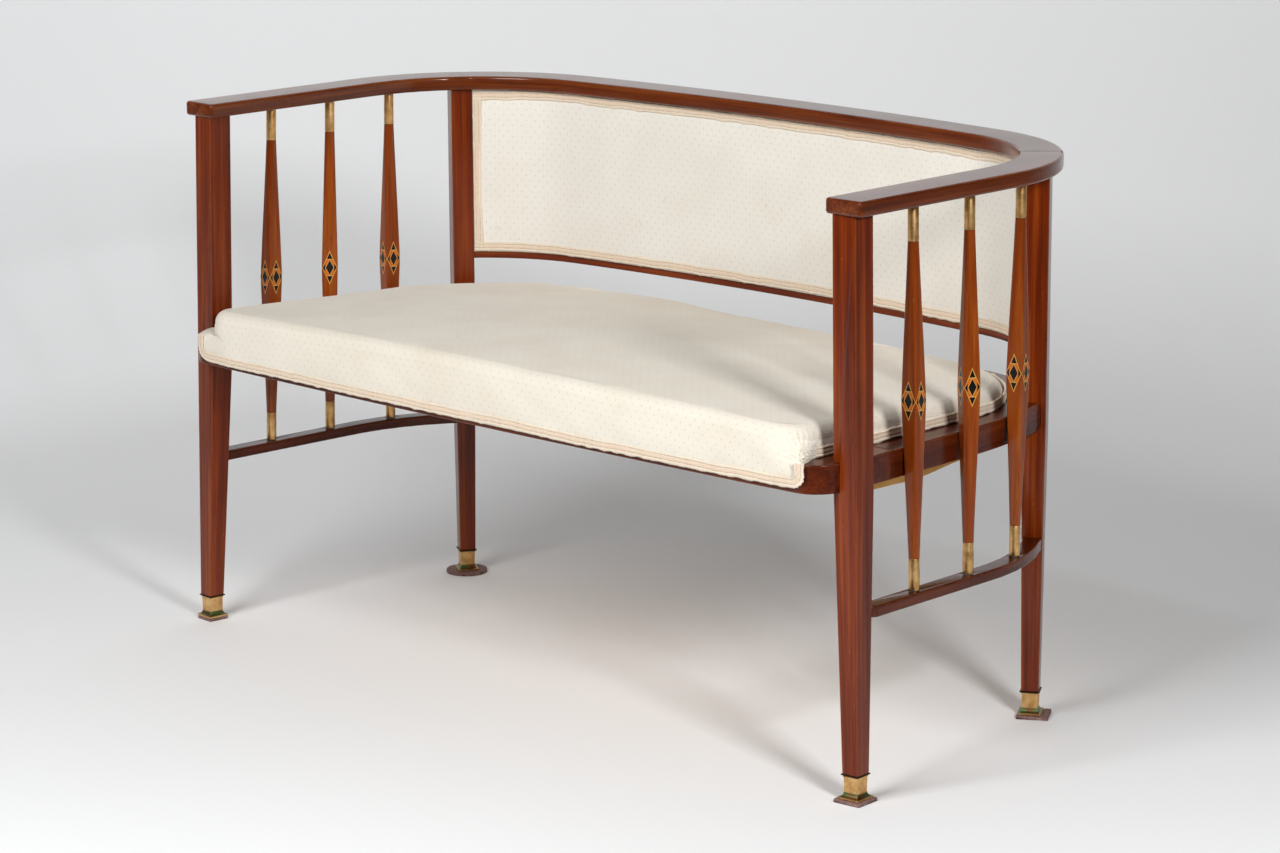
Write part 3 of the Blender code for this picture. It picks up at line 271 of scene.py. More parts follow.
def ramp(tree, factor, *stops):
    """A colour ramp through (place, colour) stops."""
    made = node(tree, "ValToRGB", {"Fac": factor})
    elements = made.color_ramp.elements
    while len(elements) < len(stops):
        elements.new(0.5)
    for element, (place, colour) in zip(elements, stops):
        element.position = place
        element.color = colour
    return made.outputs["Color"]


def start_material(name, **constants):
    """A new material and its shader, with the values that are the same all over."""
    material = bpy.data.materials.new(name)
    material.use_nodes = True
    tree = material.node_tree
    shader = tree.nodes["Principled BSDF"]
    for socket, value in constants.items():
        shader.inputs[socket.replace("_", " ")].default_value = value
    return material, tree, shader


def finish_material(tree, shader, colour, roughness, height=None, depth=0.0005):
    """Colour, roughness and bump go to the shader."""
    tree.links.new(colour, shader.inputs["Base Color"])
    tree.links.new(roughness, shader.inputs["Roughness"])
    if height is not None:
        bump = node(tree, "Bump", {"Height": height, "Strength": 1.0, "Distance": depth})
        tree.links.new(bump.outputs["Normal"], shader.inputs["Normal"])


print("a display grey of 128 is", round(linear(128, 128, 128)[0], 3), "for the shader")


# %% [markdown]
# ## Mahogany
#
# The real wood is a reddish ribbon-striped mahogany under a worn polish. Its figure runs along
# each piece, also round the bent rail, so the pattern can't use plain object coordinates. Each
# wooden piece gets an attribute called grain: metres along, across and up the piece. Stretched
# noise on it gives broad stripes, fine ribbons and pores. A second attribute, half, holds half
# the piece's width and height, which lets the shader find the arrises and wear them lighter.
# The rail carries the thickest polish, and the seat frame is of the darkest wood.


# %% Polished wood
RIBBON_SHARE = 0.45
FIGURE_SPREAD = 0.18
PORE_DARKNESS = 0.42
RUBBED_WOOD = linear(150, 84, 44)
SCRATCHED_WOOD = linear(196, 132, 96)


def polished_wood(name, tones, stripe=1.0, coat=0.15):
    """Wood in a dark, a middle and a light tone. Returns what an inlay needs to go on.

    A higher stripe draws the tones apart, and coat says how thick the polish lies.
    """
    material, tree, shader = start_material(
        name, Coat_Weight=coat, Coat_Roughness=0.10, Specular_IOR_Level=0.20
    )
    grain = node(tree, "Attribute", attribute_name="grain").outputs["Vector"]
    half = node(tree, "Attribute", attribute_name="half").outputs["Vector"]
    broad = noise(tree, grain, 1.0, 2.0, stretch=(3.5, 55.0, 55.0))
    ribbon = noise(tree, grain, 1.0, 3.0, 0.6, stretch=(4.0, 260.0, 260.0))
    pores = noise(tree, grain, 1.0, 2.0, 0.6, stretch=(30.0, 1100.0, 1100.0))
    broad = product(tree, broad, 1 - RIBBON_SHARE)
    figure = calc(tree, "MULTIPLY_ADD", ribbon, RIBBON_SHARE, broad)
    spread = FIGURE_SPREAD / stripe
    colour = ramp(tree, figure, (0.5 - spread, tones[0]), (0.5, tones[1]), (0.5 + spread, tones[2]))
    pore = span(tree, pores, 0.60, 0.74)
    pore_colour = tuple(PORE_DARKNESS * c for c in tones[0][:3]) + (1.0,)
    colour = tinted(tree, colour, pore_colour, pore, 0.60)
    colour = worn(tree, grain, half, colour)
    cloudy = noise(tree, grain, 9.0, 3.0)
    roughness = calc(tree, "MULTIPLY_ADD", cloudy, 0.16, 0.15)
    height = calc(tree, "MULTIPLY_ADD", pore, -1.0, ribbon)
    finish_material(tree, shader, colour, roughness, height, 0.00006)
    return material, tree, shader, colour


def worn(tree, grain, half, colour):
    """Pale rubbed arrises and a few scratches over a wood colour."""
    place = node(tree, "SeparateXYZ", {0: grain}).outputs
    size = node(tree, "SeparateXYZ", {0: half}).outputs
    inside_a = calc(tree, "SUBTRACT", size["X"], calc(tree, "ABSOLUTE", place["Y"]))
    inside_b = calc(tree, "SUBTRACT", size["Y"], calc(tree, "ABSOLUTE", place["Z"]))
    corner = calc(tree, "MAXIMUM", inside_a, inside_b)
    patches = noise(tree, grain, 38.0, 4.0, 0.7)
    reach = calc(tree, "MULTIPLY_ADD", patches, 0.0046, -0.0008)
    rubbed = calc(tree, "GREATER_THAN", reach, corner)
    colour = tinted(tree, colour, RUBBED_WOOD, rubbed, 0.22)
    marks = noise(tree, grain, 1.0, 1.0, stretch=(70.0, 420.0, 420.0))
    return tinted(tree, colour, SCRATCHED_WOOD, span(tree, marks, 0.80, 0.84), 0.5)


MAHOGANY_TONES = (linear(68, 21, 5), linear(106, 38, 8), linear(138, 62, 15))
mahogany = polished_wood("polished_mahogany", MAHOGANY_TONES)[0]
RAIL_TONES = (linear(66, 25, 8), linear(98, 42, 14), linear(126, 64, 24))
rail_mahogany = polished_wood("rail_mahogany", RAIL_TONES, coat=0.40)[0]
SEAT_TONES = (linear(48, 15, 5), linear(76, 27, 8), linear(100, 42, 12))
seat_mahogany = polished_wood("seat_mahogany", SEAT_TONES)[0]
BEECH_TONES = (linear(158, 120, 84), linear(178, 140, 100), linear(192, 156, 116))
beech = polished_wood("frame_beech", BEECH_TONES, 0.6)[0]
print("four woods of", len(mahogany.node_tree.nodes), "nodes each")

# %% [markdown]
# ## Inlaid spindle wood
#
# Each spindle face carries a marquetry lozenge: a line of light wood round it, black triangles at
# its tips and sides, a black rhombus in the middle with a light border, and orange wood between.
# The spindle's own UV map says which face a point is on and how far from the lozenge's centre,
# so every edge of the pattern is a straight line in those two numbers.

# %% The lozenge on the spindles
INLAY_HALF_HEIGHT = 0.0250
INLAY_BLACK = linear(22, 20, 20)
INLAY_LIGHT = linear(216, 158, 78)
INLAY_ORANGE = linear(190, 104, 34)


def inside_rhombus(tree, across, along, width, height):
    """1 where across / width + along / height is under 1."""
    across, along = calc(tree, "DIVIDE", across, width), calc(tree, "DIVIDE", along, height)
    return calc(tree, "LESS_THAN", calc(tree, "ADD", across, along), 1.0)


def inlay(tree, colour):
    """The lozenge's pieces laid one over another on the wood, each a mask and its colour."""
    uv = node(tree, "UVMap", uv_map="face").outputs["UV"]
    place = node(tree, "SeparateXYZ", {0: uv}).outputs
    within = calc(tree, "FRACT", place["X"])
    across = calc(tree, "ABSOLUTE", calc(tree, "MULTIPLY_ADD", within, 2.0, -1.0))
    along = calc(tree, "ABSOLUTE", calc(tree, "DIVIDE", place["Y"], INLAY_HALF_HEIGHT))
    past_tip = calc(tree, "GREATER_THAN", along, 0.50)
    past_band = calc(tree, "GREATER_THAN", along, 0.46)
    past_side = calc(tree, "GREATER_THAN", across, 0.60)

    def rhombus(width, height):
        return inside_rhombus(tree, across, along, width, height)

    for where, wood in (
        (rhombus(1.0, 1.0), INLAY_LIGHT),
        (rhombus(0.935, 0.935), INLAY_ORANGE),
        (product(tree, past_band, rhombus(0.935, 0.935)), INLAY_LIGHT),
        (product(tree, past_tip, rhombus(0.90, 0.90)), INLAY_BLACK),
        (product(tree, past_side, rhombus(0.95, 0.62)), INLAY_BLACK),
        (rhombus(0.60, 0.49), INLAY_LIGHT),
        (rhombus(0.53, 0.43), INLAY_BLACK),
    ):
        colour = mixed(tree, where, colour, wood)
    return colour


SPINDLE_TONES = (linear(96, 36, 8), linear(132, 58, 14), linear(162, 86, 26))
inlaid_mahogany, spindle_tree, spindle_shader, plain = polished_wood(
    "inlaid_mahogany", SPINDLE_TONES, 0.8
)
spindle_tree.links.new(inlay(spindle_tree, plain), spindle_shader.inputs["Base Color"])
print("lozenges are", 2 * INLAY_HALF_HEIGHT, "m high")

# %% [markdown]
# ## Aged brass
#
# The ferrules and feet are thin brass, golden where hands polish it and brown in the corners.
# The feet also have green verdigris in the hollow above the base, and a dark plate on top.


# %% Brass and pad materials
BRASS_TONES = (linear(178, 132, 78), linear(226, 182, 120), linear(242, 210, 150))
BRASS_STREAK, BRASS_SPOT = linear(110, 72, 34), linear(66, 42, 22)
GRIME, VERDIGRIS, FOOT_PLATE = linear(84, 62, 32), linear(78, 124, 84), linear(58, 46, 32)
HOLLOW_LOW, HOLLOW_HIGH = (0.0060, 0.0078), (0.0140, 0.0118)
PLATE_FROM = (0.0328, 0.0336)


def aged_brass(name, foot):
    """Streaked and spotted brass. A foot has its green hollow and dark plate at set heights."""
    material, tree, shader = start_material(name, Metallic=1.0, Specular_IOR_Level=0.5)
    where = node(tree, "TexCoord").outputs["Object"]
    clouds = noise(tree, where, 60.0, 4.0, 0.6)
    spots = noise(tree, where, 420.0, 3.0, 0.6)
    streaks = noise(tree, where, 1.0, 3.0, stretch=(900.0, 900.0, 40.0))
    colour = ramp(tree, clouds, *zip((0.30, 0.55, 0.75), BRASS_TONES))
    colour = tinted(tree, colour, BRASS_STREAK, span(tree, streaks, 0.52, 0.70), 0.35)
    colour = tinted(tree, colour, BRASS_SPOT, span(tree, spots, 0.62, 0.72), 0.7)
    if foot:
        height = node(tree, "SeparateXYZ", {0: where}).outputs["Z"]
        hollow = product(tree, span(tree, height, *HOLLOW_LOW), span(tree, height, *HOLLOW_HIGH))
        green = product(tree, hollow, span(tree, clouds, 0.46, 0.56))
        colour = tinted(tree, colour, GRIME, hollow, 0.70)
        colour = tinted(tree, colour, VERDIGRIS, green, 0.85)
        colour = mixed(tree, span(tree, height, *PLATE_FROM), colour, FOOT_PLATE)
    roughness = calc(tree, "MULTIPLY_ADD", clouds, 0.30, 0.26)
    finish_material(tree, shader, colour, roughness, spots, 0.00004)
    return material


ferrule_brass = aged_brass("aged_brass", False)
foot_brass = aged_brass("foot_brass", True)

FELT_TONES = (linear(92, 66, 60), linear(132, 104, 98), linear(166, 142, 134))
glide_felt, felt_tree, felt_shader = start_material("glide_pad", Specular_IOR_Level=0.25)
felt_place = node(felt_tree, "TexCoord").outputs["Object"]
felt_cloud = noise(felt_tree, felt_place, 240.0, 4.0, 0.65)
felt_colour = ramp(felt_tree, felt_cloud, *zip((0.3, 0.55, 0.8), FELT_TONES))
felt_rough = calc(felt_tree, "MULTIPLY_ADD", felt_cloud, 0.2, 0.75)
finish_material(felt_tree, felt_shader, felt_colour, felt_rough, felt_cloud, 0.0004)
print("brass of", len(ferrule_brass.node_tree.nodes), "nodes, and for the feet of", end=" ")
print(len(foot_brass.node_tree.nodes))

# %% [markdown]
# ## Ribbed cream cloth
#
# The cover is a cream cotton with fine ribs and staggered pin dots woven in satin, which look
# grey from one side and bright from another. The UV map is the cloth laid flat, in metres, so
# ribs are a sine wave across it and the dots a staggered grid. Long use left faint stains. The
# seat's cloth is warmer than the panel's, and its ribs show less.

# %% Cover cloth
RIB_PITCH = 0.0034
DOT_ROW = 0.0080
DOT_SPACING = 0.0150
DOT_RADIUS = 0.0011
RIB_SHADE, THREAD_SHADE = linear(196, 190, 174), linear(190, 178, 156)
DOT_SHADE, STAIN = linear(184, 183, 178), linear(200, 172, 140)


def wave(tree, value, pitch):
    """A sine wave from -1 to 1 with the given pitch."""
    return calc(tree, "SINE", product(tree, value, 2 * math.pi / pitch))


def from_middle(tree, value, pitch):
    """Distance from the middle of the cell that a value lies in, for cells of one pitch."""
    within = calc(tree, "SUBTRACT", calc(tree, "FRACT", value), 0.5)
    return product(tree, within, pitch)


def pin_dots(tree, u, v):
    """1 in each dot. Every second row is shifted by half a spacing."""
    row = calc(tree, "DIVIDE", v, DOT_ROW)
    odd = calc(tree, "MODULO", calc(tree, "FLOOR", row), 2.0)
    along = calc(tree, "MULTIPLY_ADD", odd, 0.5, calc(tree, "DIVIDE", u, DOT_SPACING))
    a, b = from_middle(tree, along, DOT_SPACING), from_middle(tree, row, DOT_ROW)
    away = calc(tree, "SQRT", calc(tree, "MULTIPLY_ADD", a, a, product(tree, b, b)))
    return span(tree, away, DOT_RADIUS * 1.3, DOT_RADIUS * 0.8)


def cover_cloth(name, tones, ribs):
    """The seat's cloth has warmer tones. ribs says how clearly the ribs show."""
    material, tree, shader = start_material(
        name, Sheen_Weight=0.15, Sheen_Roughness=0.5, Specular_IOR_Level=0.3
    )
    uv = node(tree, "UVMap", uv_map="weave").outputs["UV"]
    place = node(tree, "SeparateXYZ", {0: uv}).outputs
    rib = wave(tree, place["X"], RIB_PITCH)
    dots = pin_dots(tree, place["X"], place["Y"])
    threads = noise(tree, uv, 1.0, 2.0, stretch=(2200.0, 260.0, 1.0))
    slubs = noise(tree, uv, 1.0, 2.0, stretch=(160.0, 14.0, 1.0))
    clouds = noise(tree, uv, 7.0, 4.0, 0.6)
    blots = noise(tree, uv, 26.0, 3.0, 0.6)
    colour = ramp(tree, clouds, *zip((0.25, 0.55, 0.85), tones))
    colour = tinted(tree, colour, RIB_SHADE, span(tree, rib, -1.0, 1.0), ribs)
    colour = tinted(tree, colour, THREAD_SHADE, span(tree, threads, 0.45, 0.8), 0.16)
    colour = tinted(tree, colour, STAIN, span(tree, blots, 0.66, 0.76), 0.22)
    colour = tinted(tree, colour, DOT_SHADE, dots, 0.50)
    shine = calc(tree, "MULTIPLY_ADD", dots, -0.50, 0.80)
    roughness = calc(tree, "MULTIPLY_ADD", slubs, 0.08, shine)
    height = calc(tree, "MULTIPLY_ADD", rib, 0.5, calc(tree, "MULTIPLY_ADD", threads, 0.4, dots))
    finish_material(tree, shader, colour, roughness, height, 0.00012)
    return material


SEAT_CLOTH_TONES = (linear(221, 211, 195), linear(228, 221, 207), linear(232, 226, 213))
PANEL_CLOTH_TONES = (linear(225, 220, 210), linear(231, 227, 219), linear(235, 232, 225))
seat_cloth = cover_cloth("seat_cloth", SEAT_CLOTH_TONES, 0.04)
panel_cloth = cover_cloth("panel_cloth", PANEL_CLOTH_TONES, 0.14)
print("two cloths with dots every", DOT_SPACING, "m")

# %% [markdown]
# ## Braid, canvas, webbing and stuffing
#
# The braid is a flat three-part trimming: a cord along each edge, a ribbed band between, dotted
# dark stitches where they meet and small loops outside. Its UV map runs along it in metres and
# across it from -1 to 1. Canvas and webbing are plain weaves, and what fills the seat is hair.


# %% Textile materials
BRAID_CORD, BRAID_BAND = linear(234, 219, 198), linear(229, 204, 179)
BRAID_THREAD, BRAID_TWIST = linear(182, 156, 128), linear(188, 162, 134)
BRAID_STITCH, BRAID_STAIN = linear(122, 98, 80), linear(214, 178, 152)
TWIST_PITCH, TWIST_SLANT = 0.0017, 0.0016
STITCH_PITCH = 0.0029
STITCH_LINES = (-0.36, 0.58)


def away_from(tree, value, centre):
    """Distance of a value from a place, on either side."""
    return calc(tree, "ABSOLUTE", calc(tree, "SUBTRACT", value, centre))


def braid_material(name):
    """Twisted cords, a band of drawn threads and broken lines of dark stitches."""
    material, tree, shader = start_material(name, Sheen_Weight=0.2, Specular_IOR_Level=0.3)
    uv = node(tree, "UVMap", uv_map="band").outputs["UV"]
    place = node(tree, "SeparateXYZ", {0: uv}).outputs
    along, across = place["X"], place["Y"]
    twist = wave(tree, calc(tree, "MULTIPLY_ADD", across, TWIST_SLANT, along), TWIST_PITCH)
    clouds = noise(tree, along, 90.0, 3.0)
    threads = noise(tree, uv, 1.0, 3.0, 0.7, stretch=(420.0, 5.0, 1.0))
    middle = span(tree, away_from(tree, across, 0.10), 0.50, 0.36)
    band = product(tree, middle, span(tree, threads, 0.30, 0.62))
    colour = mixed(tree, band, BRAID_CORD, BRAID_BAND)
    colour = tinted(tree, colour, BRAID_THREAD, span(tree, threads, 0.52, 0.72), 0.35)
    colour = tinted(tree, colour, BRAID_TWIST, span(tree, twist, 0.0, 1.0), 0.20)
    broken = calc(tree, "MULTIPLY_ADD", span(tree, clouds, 0.40, 0.60), 0.08, 0.03)
    stitched = span(tree, wave(tree, along, STITCH_PITCH), -0.9, 0.1)
    for centre in STITCH_LINES:
        near = span(tree, away_from(tree, across, centre), broken, 0.02)
        colour = tinted(tree, colour, BRAID_STITCH, product(tree, near, stitched), 0.80)
    colour = tinted(tree, colour, BRAID_STAIN, span(tree, clouds, 0.55, 0.8), 0.3)
    roughness = calc(tree, "MULTIPLY_ADD", clouds, 0.1, 0.8)
    finish_material(tree, shader, colour, roughness, twist, 0.00018)
    return material


def woven(name, tones, pitch):
    """A plain weave of two crossing sets of threads, on object coordinates."""
    material, tree, shader = start_material(name, Specular_IOR_Level=0.2)
    where = node(tree, "TexCoord").outputs["Object"]
    place = node(tree, "SeparateXYZ", {0: where}).outputs
    weave = product(tree, wave(tree, place["X"], pitch), wave(tree, place["Y"], pitch))
    clouds = noise(tree, where, 22.0, 4.0, 0.6)
    fibres = noise(tree, where, 1.0, 3.0, stretch=(700.0, 90.0, 300.0))
    colour = ramp(tree, clouds, (0.3, tones[0]), (0.7, tones[1]))
    colour = tinted(tree, colour, tones[2], span(tree, fibres, 0.45, 0.75), 0.35)
    roughness = calc(tree, "MULTIPLY_ADD", clouds, 0.1, 0.82)
    height = calc(tree, "MULTIPLY_ADD", weave, 0.5, fibres)
    finish_material(tree, shader, colour, roughness, height, 0.0002)
    return material


cream_braid = braid_material("cream_braid")
CANVAS_TONES = (linear(176, 128, 58), linear(206, 158, 84), linear(150, 104, 48))
ochre_canvas = woven("ochre_canvas", CANVAS_TONES, 0.0011)
JUTE_TONES = (linear(146, 116, 78), linear(176, 146, 102), linear(112, 84, 54))
jute = woven("jute_webbing", JUTE_TONES, 0.0030)
HAIR_TONES = (linear(58, 46, 38), linear(92, 76, 62), linear(34, 26, 22))
hair = woven("hair_stuffing", HAIR_TONES, 0.0060)
print("braid of", len(cream_braid.node_tree.nodes), "nodes and three plain weaves")

# %% [markdown]
# ## Wooden pieces from the frame
#
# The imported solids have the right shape, but they are loose flat triangles. Each gets a merged
# copy, shaded smooth with weighted normals, so that its rounded arrises catch the light. The copy
# stands for its node. The grain attribute comes from a line along the piece: the nearest place
# on the line gives the distance along it and the distance to its side.


# %% Lines along the pieces
def leg_size(height, full, foot):
    """A leg is square down to the seat frame and tapers below it."""
    share = np.clip((SEAT_BOTTOM - height) / (SEAT_BOTTOM - FOOT_TOP), 0.0, 1.0)
    return full + (foot - full) * share


SEAT_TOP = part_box("seat_rail_front")[1][2]
SEAT_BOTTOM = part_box("seat_rail_front")[0][2]
FOOT_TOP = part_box("brass_foot_front_left")[1][2]
FRONT_LEG = (0.0354, 0.0240)
BACK_LEG = (0.0310, 0.0232)
LEG_TURN = {"front": math.radians(4.5), "back": math.radians(32.0)}
FRONT_LEG_INSET = 0.0033
BACK_LEG_INSET = 0.0025
LEAN_OUT, LEAN_FORWARD = math.radians(1.1), math.radians(0.4)
SIDES = {"left": -1, "right": 1}


def post_axes(turn, side):
    """Outward and forward directions of a post that is turned outwards."""
    outward = np.array([side * math.cos(turn), math.sin(turn)])
    forward = np.array([side * math.sin(turn), -math.cos(turn)])
    return outward, forward


def leg_centre(end, side, height):
    """The middle of a leg's square at each height. A front leg leans out and forward."""
    height = np.atleast_1d(height)
    if end == "back":
        centre = beside_rail(side * BACK_LEG_AT, -BACK_LEG_INSET)
        return np.broadcast_to(centre, (len(height), 2))
    top = beside_rail(side * FRONT_LEG_AT, -FRONT_LEG_INSET)
    outward, forward = post_axes(LEG_TURN["front"], side)
    drop = (RAIL_UNDERSIDE - height)[:, None]
    lean = np.array([side * math.tan(LEAN_OUT), -math.tan(LEAN_FORWARD)])
    thinner = (FRONT_LEG[0] - leg_size(height, *FRONT_LEG))[:, None] / 2
    return top + lean * drop + (outward + forward) * thinner


def along_line(points, line):
    """Distance along a line of points seen from above, and distance to its left side."""
    start, step = line[:-1], np.diff(line, axis=0)
    length = np.linalg.norm(step, axis=1)
    before = np.concatenate([[0.0], np.cumsum(length)[:-1]])
    offset = points[:, None, :2] - start[None]
    share = np.clip((offset * step).sum(-1) / length**2, 0.0, 1.0)
    miss = np.linalg.norm(offset - share[..., None] * step, axis=-1)
    best = miss.argmin(axis=1)
    row = np.arange(len(points))
    side = step[best, 0] * offset[row, best, 1] - step[best, 1] * offset[row, best, 0]
    return before[best] + share[row, best] * length[best], side / length[best]


print("seat frame from", round(SEAT_BOTTOM, 4), "to", round(SEAT_TOP, 4), "m above the floor")

# %% Merged copies with grain
WOOD_SHARP = math.radians(38.0)
LEG_GRAIN_SHIFT = 3.0


def merged_copy(name):
    """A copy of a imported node's mesh whose triangles share their corners."""
    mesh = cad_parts[name].data.copy()
    mesh.name = name + "_looks"
    work = bmesh.new()
    work.from_mesh(mesh)
    bmesh.ops.remove_doubles(work, verts=work.verts, dist=1e-6)
    work.to_mesh(mesh)
    work.free()
    mesh.shade_smooth()
    mesh.set_sharp_from_angle(angle=WOOD_SHARP)
    return mesh


def node_points(mesh):
    """All points of a mesh as one array."""
    points = np.empty(len(mesh.vertices) * 3, np.float32)
    mesh.vertices.foreach_get("co", points)
    return points.reshape(-1, 3).astype(float)


def store_vector(mesh, name, values):
    """Gives each point of a mesh three numbers that a shader can read by name."""
    attribute = mesh.attributes.new(name, "FLOAT_VECTOR", "POINT")
    attribute.data.foreach_set("vector", np.ascontiguousarray(values, np.float32).ravel())


def dressed(name, material, grain=None, half=None):
    """A merged copy stands for its node, with a finish and, on wood, its grain."""
    mesh = merged_copy(name)
    if grain is not None:
        points = node_points(mesh)
        store_vector(mesh, "grain", grain(points))
        size = half(points) if callable(half) else [[*half, 0.0]] * len(points)
        store_vector(mesh, "half", size)
    mesh.materials.clear()
    mesh.materials.append(material)
    obj = bpy.data.objects.new(name + "_finish", mesh)
    bpy.context.scene.collection.objects.link(obj)
    obj.modifiers.new("flat faces", "WEIGHTED_NORMAL").keep_sharp = True
    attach(obj, "root")
    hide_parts(name)
    return obj


def bent_grain(line, middle):
    """Grain along a bent piece: along and beside its line, and up from its middle height."""

    def grain(points):
        along, across = along_line(points, line)
        return np.column_stack([along, across, points[:, 2] - middle])

    return grain


def post_grain(end, side, turn):
    """Grain along a leg: up, and to both sides of its leaning middle."""
    outward, forward = post_axes(turn, side)

    def grain(points):
        flat = points[:, :2] - leg_centre(end, side, points[:, 2])
        along = points[:, 2] + side * LEG_GRAIN_SHIFT
        return np.column_stack([along, flat @ outward, flat @ forward])

    return grain


# %% Rails, legs and seat frame
RAIL_SAMPLES = np.linspace(-TIP_AT, TIP_AT, 240)
rail_samples = rail_line(RAIL_SAMPLES)[0]
for rail in ("crest_rail", "arm_rail_left", "arm_rail_right"):
    grain = bent_grain(rail_samples, RAIL_TOP - RAIL_THICKNESS / 2)
    dressed(rail, rail_mahogany, grain, (RAIL_WIDTH / 2, RAIL_THICKNESS / 2))

for word, side in SIDES.items():
    for end, sizes in (("front", FRONT_LEG), ("back", BACK_LEG)):

        def half_leg(points, sizes=sizes):
            half = leg_size(points[:, 2], *sizes) / 2
            return np.column_stack([half, half, 0 * half])

        grain = post_grain(end, side, LEG_TURN[end])
        dressed(f"{end}_leg_{word}", mahogany, grain, half_leg)


def bent_line(side, reach, first, last, radius, offset):
    """A side piece's line: from the back leg's front face round a bend, then straight forward.

    first and last are its headings in degrees, and offset moves the line outward.
    """
    outward, forward = post_axes(LEG_TURN["back"], 1)
    start = leg_centre("back", 1, SEAT_TOP)[0] + forward * BACK_LEG[0] / 2 + outward * reach
    turn = np.radians(np.linspace(first, last, 24))
    x = start[0] + radius * (np.sin(turn) - np.sin(turn[0]))
    y = start[1] - radius * (np.cos(turn[0]) - np.cos(turn))
    straight = np.array([math.cos(turn[-1]), -math.sin(turn[-1])]) * SIDE_STRAIGHT
    line = np.column_stack([x + offset * np.sin(turn), y + offset * np.cos(turn)])
    return np.concatenate([line, [line[-1] + straight]]) * [side, 1.0]


def dress_bent(name, line, half, wood=seat_mahogany):
    """A piece whose grain follows a level line at the middle of its height."""
    low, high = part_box(name)
    return dressed(name, wood, bent_grain(line, (low[2] + high[2]) / 2), half)


SIDE_STRAIGHT = 0.5
STRETCHER_HALF = (0.0125, 0.00725)
SEAT_RAIL_HALF = (0.0230, 0.01825)
STRETCHER_BEND = (0.0, 54.0, 87.8, 0.290, 0.0)
SEAT_RAIL_BEND = (0.0083, 73.3, 87.1, 0.770, -SEAT_RAIL_HALF[0])
for word, side in SIDES.items():
    dress_bent(f"side_stretcher_{word}", bent_line(side, *STRETCHER_BEND), STRETCHER_HALF)
    dress_bent(f"seat_rail_{word}", bent_line(side, *SEAT_RAIL_BEND), SEAT_RAIL_HALF)

SEAT_FRONT_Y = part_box("seat_rail_front")[0][1]
SEAT_FRONT_BOW = 0.0105
SEAT_CORNER_RADIUS, CORNER_TO_LEG = 0.0405, 0.0439
SEAT_CORNER_X = float(rail_line(FRONT_LEG_AT)[0][0]) - CORNER_TO_LEG


def seat_front_y(x):
    """The frame's front face, which bows forward in the middle."""
    return SEAT_FRONT_Y + SEAT_FRONT_BOW * (np.asarray(x) / SEAT_CORNER_X) ** 2


BACK_RAIL_INSET, LOWER_RAIL_INSET = 0.0130, 0.0025
LOWER_RAIL_HALF, BRACE_HALF = (0.010, 0.013), (0.0225, 0.015)
front_x = np.linspace(-0.65, 0.65, 60)
front_line = np.column_stack([front_x, seat_front_y(front_x) + SEAT_RAIL_HALF[0]])
between_legs = np.linspace(-BACK_LEG_AT, BACK_LEG_AT, 60)
for name in ("seat_rail_front", "seat_corner_left", "seat_corner_right"):
    dress_bent(name, front_line, SEAT_RAIL_HALF)
dress_bent("seat_rail_back", beside_rail(between_legs, -BACK_RAIL_INSET), SEAT_RAIL_HALF)
lower_line = beside_rail(between_legs, -LOWER_RAIL_INSET)
dress_bent("lower_back_rail", lower_line, LOWER_RAIL_HALF, mahogany)
brace_line = np.array([[0.0, -0.4], [0.0, 0.4]])
dress_bent("seat_cross_brace", brace_line, BRACE_HALF, beech)
print("wooden pieces dressed, seat frame", round(SEAT_TOP - SEAT_BOTTOM, 4), "m high")

# %% [markdown]
# ## Spindles
#
# A spindle is turned round where its ferrules sit and swells to a soft-cornered square with the
# lozenge on each face. It is a loft: at each height the half-width and the corner radius come
# from the same share, which is 0 at the ends and 1 in the middle. Four faces with rounded
# corners make one ring, and the UV map counts the faces.

# %% Spindle surfaces
STRETCHER_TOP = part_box("side_stretcher_right")[1][2]
SPINDLE_END_WIDTH = 0.0138
SPINDLE_MIDDLE_WIDTH = 0.0232
SPINDLE_CORNER = 0.0026
TOP_FERRULE_LENGTH = 0.0465
BOTTOM_FERRULE_LENGTH = 0.0405
SPINDLE_TURNS = {
    "left": [math.radians(t) for t in (3.5, 42.5, 12.0)],
    "right": [math.radians(t) for t in (5.0, -27.5, 12.0)],
}
LOZENGE_AT = 0.485
GRAIN_SHIFT = 0.7
spindle_low = STRETCHER_TOP + BOTTOM_FERRULE_LENGTH + 2 * GAP
spindle_high = RAIL_UNDERSIDE - TOP_FERRULE_LENGTH - 2 * GAP


def ferrule_centre(name):
    """The middle of a ferrule seen from above, and its middle height."""
    low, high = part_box(name)
    return np.array([(low[0] + high[0]) / 2, (low[1] + high[1]) / 2]), (low[2] + high[2]) / 2


def spindle_axis(word, number):
    """The axis as a function of height, from the middles of both ferrules."""
    low, low_z = ferrule_centre(f"ferrule_bottom_{word}_{number}")
    high, high_z = ferrule_centre(f"ferrule_top_{word}_{number}")
    return lambda z: low + (high - low) * ((np.asarray(z) - low_z) / (high_z - low_z))[..., None]


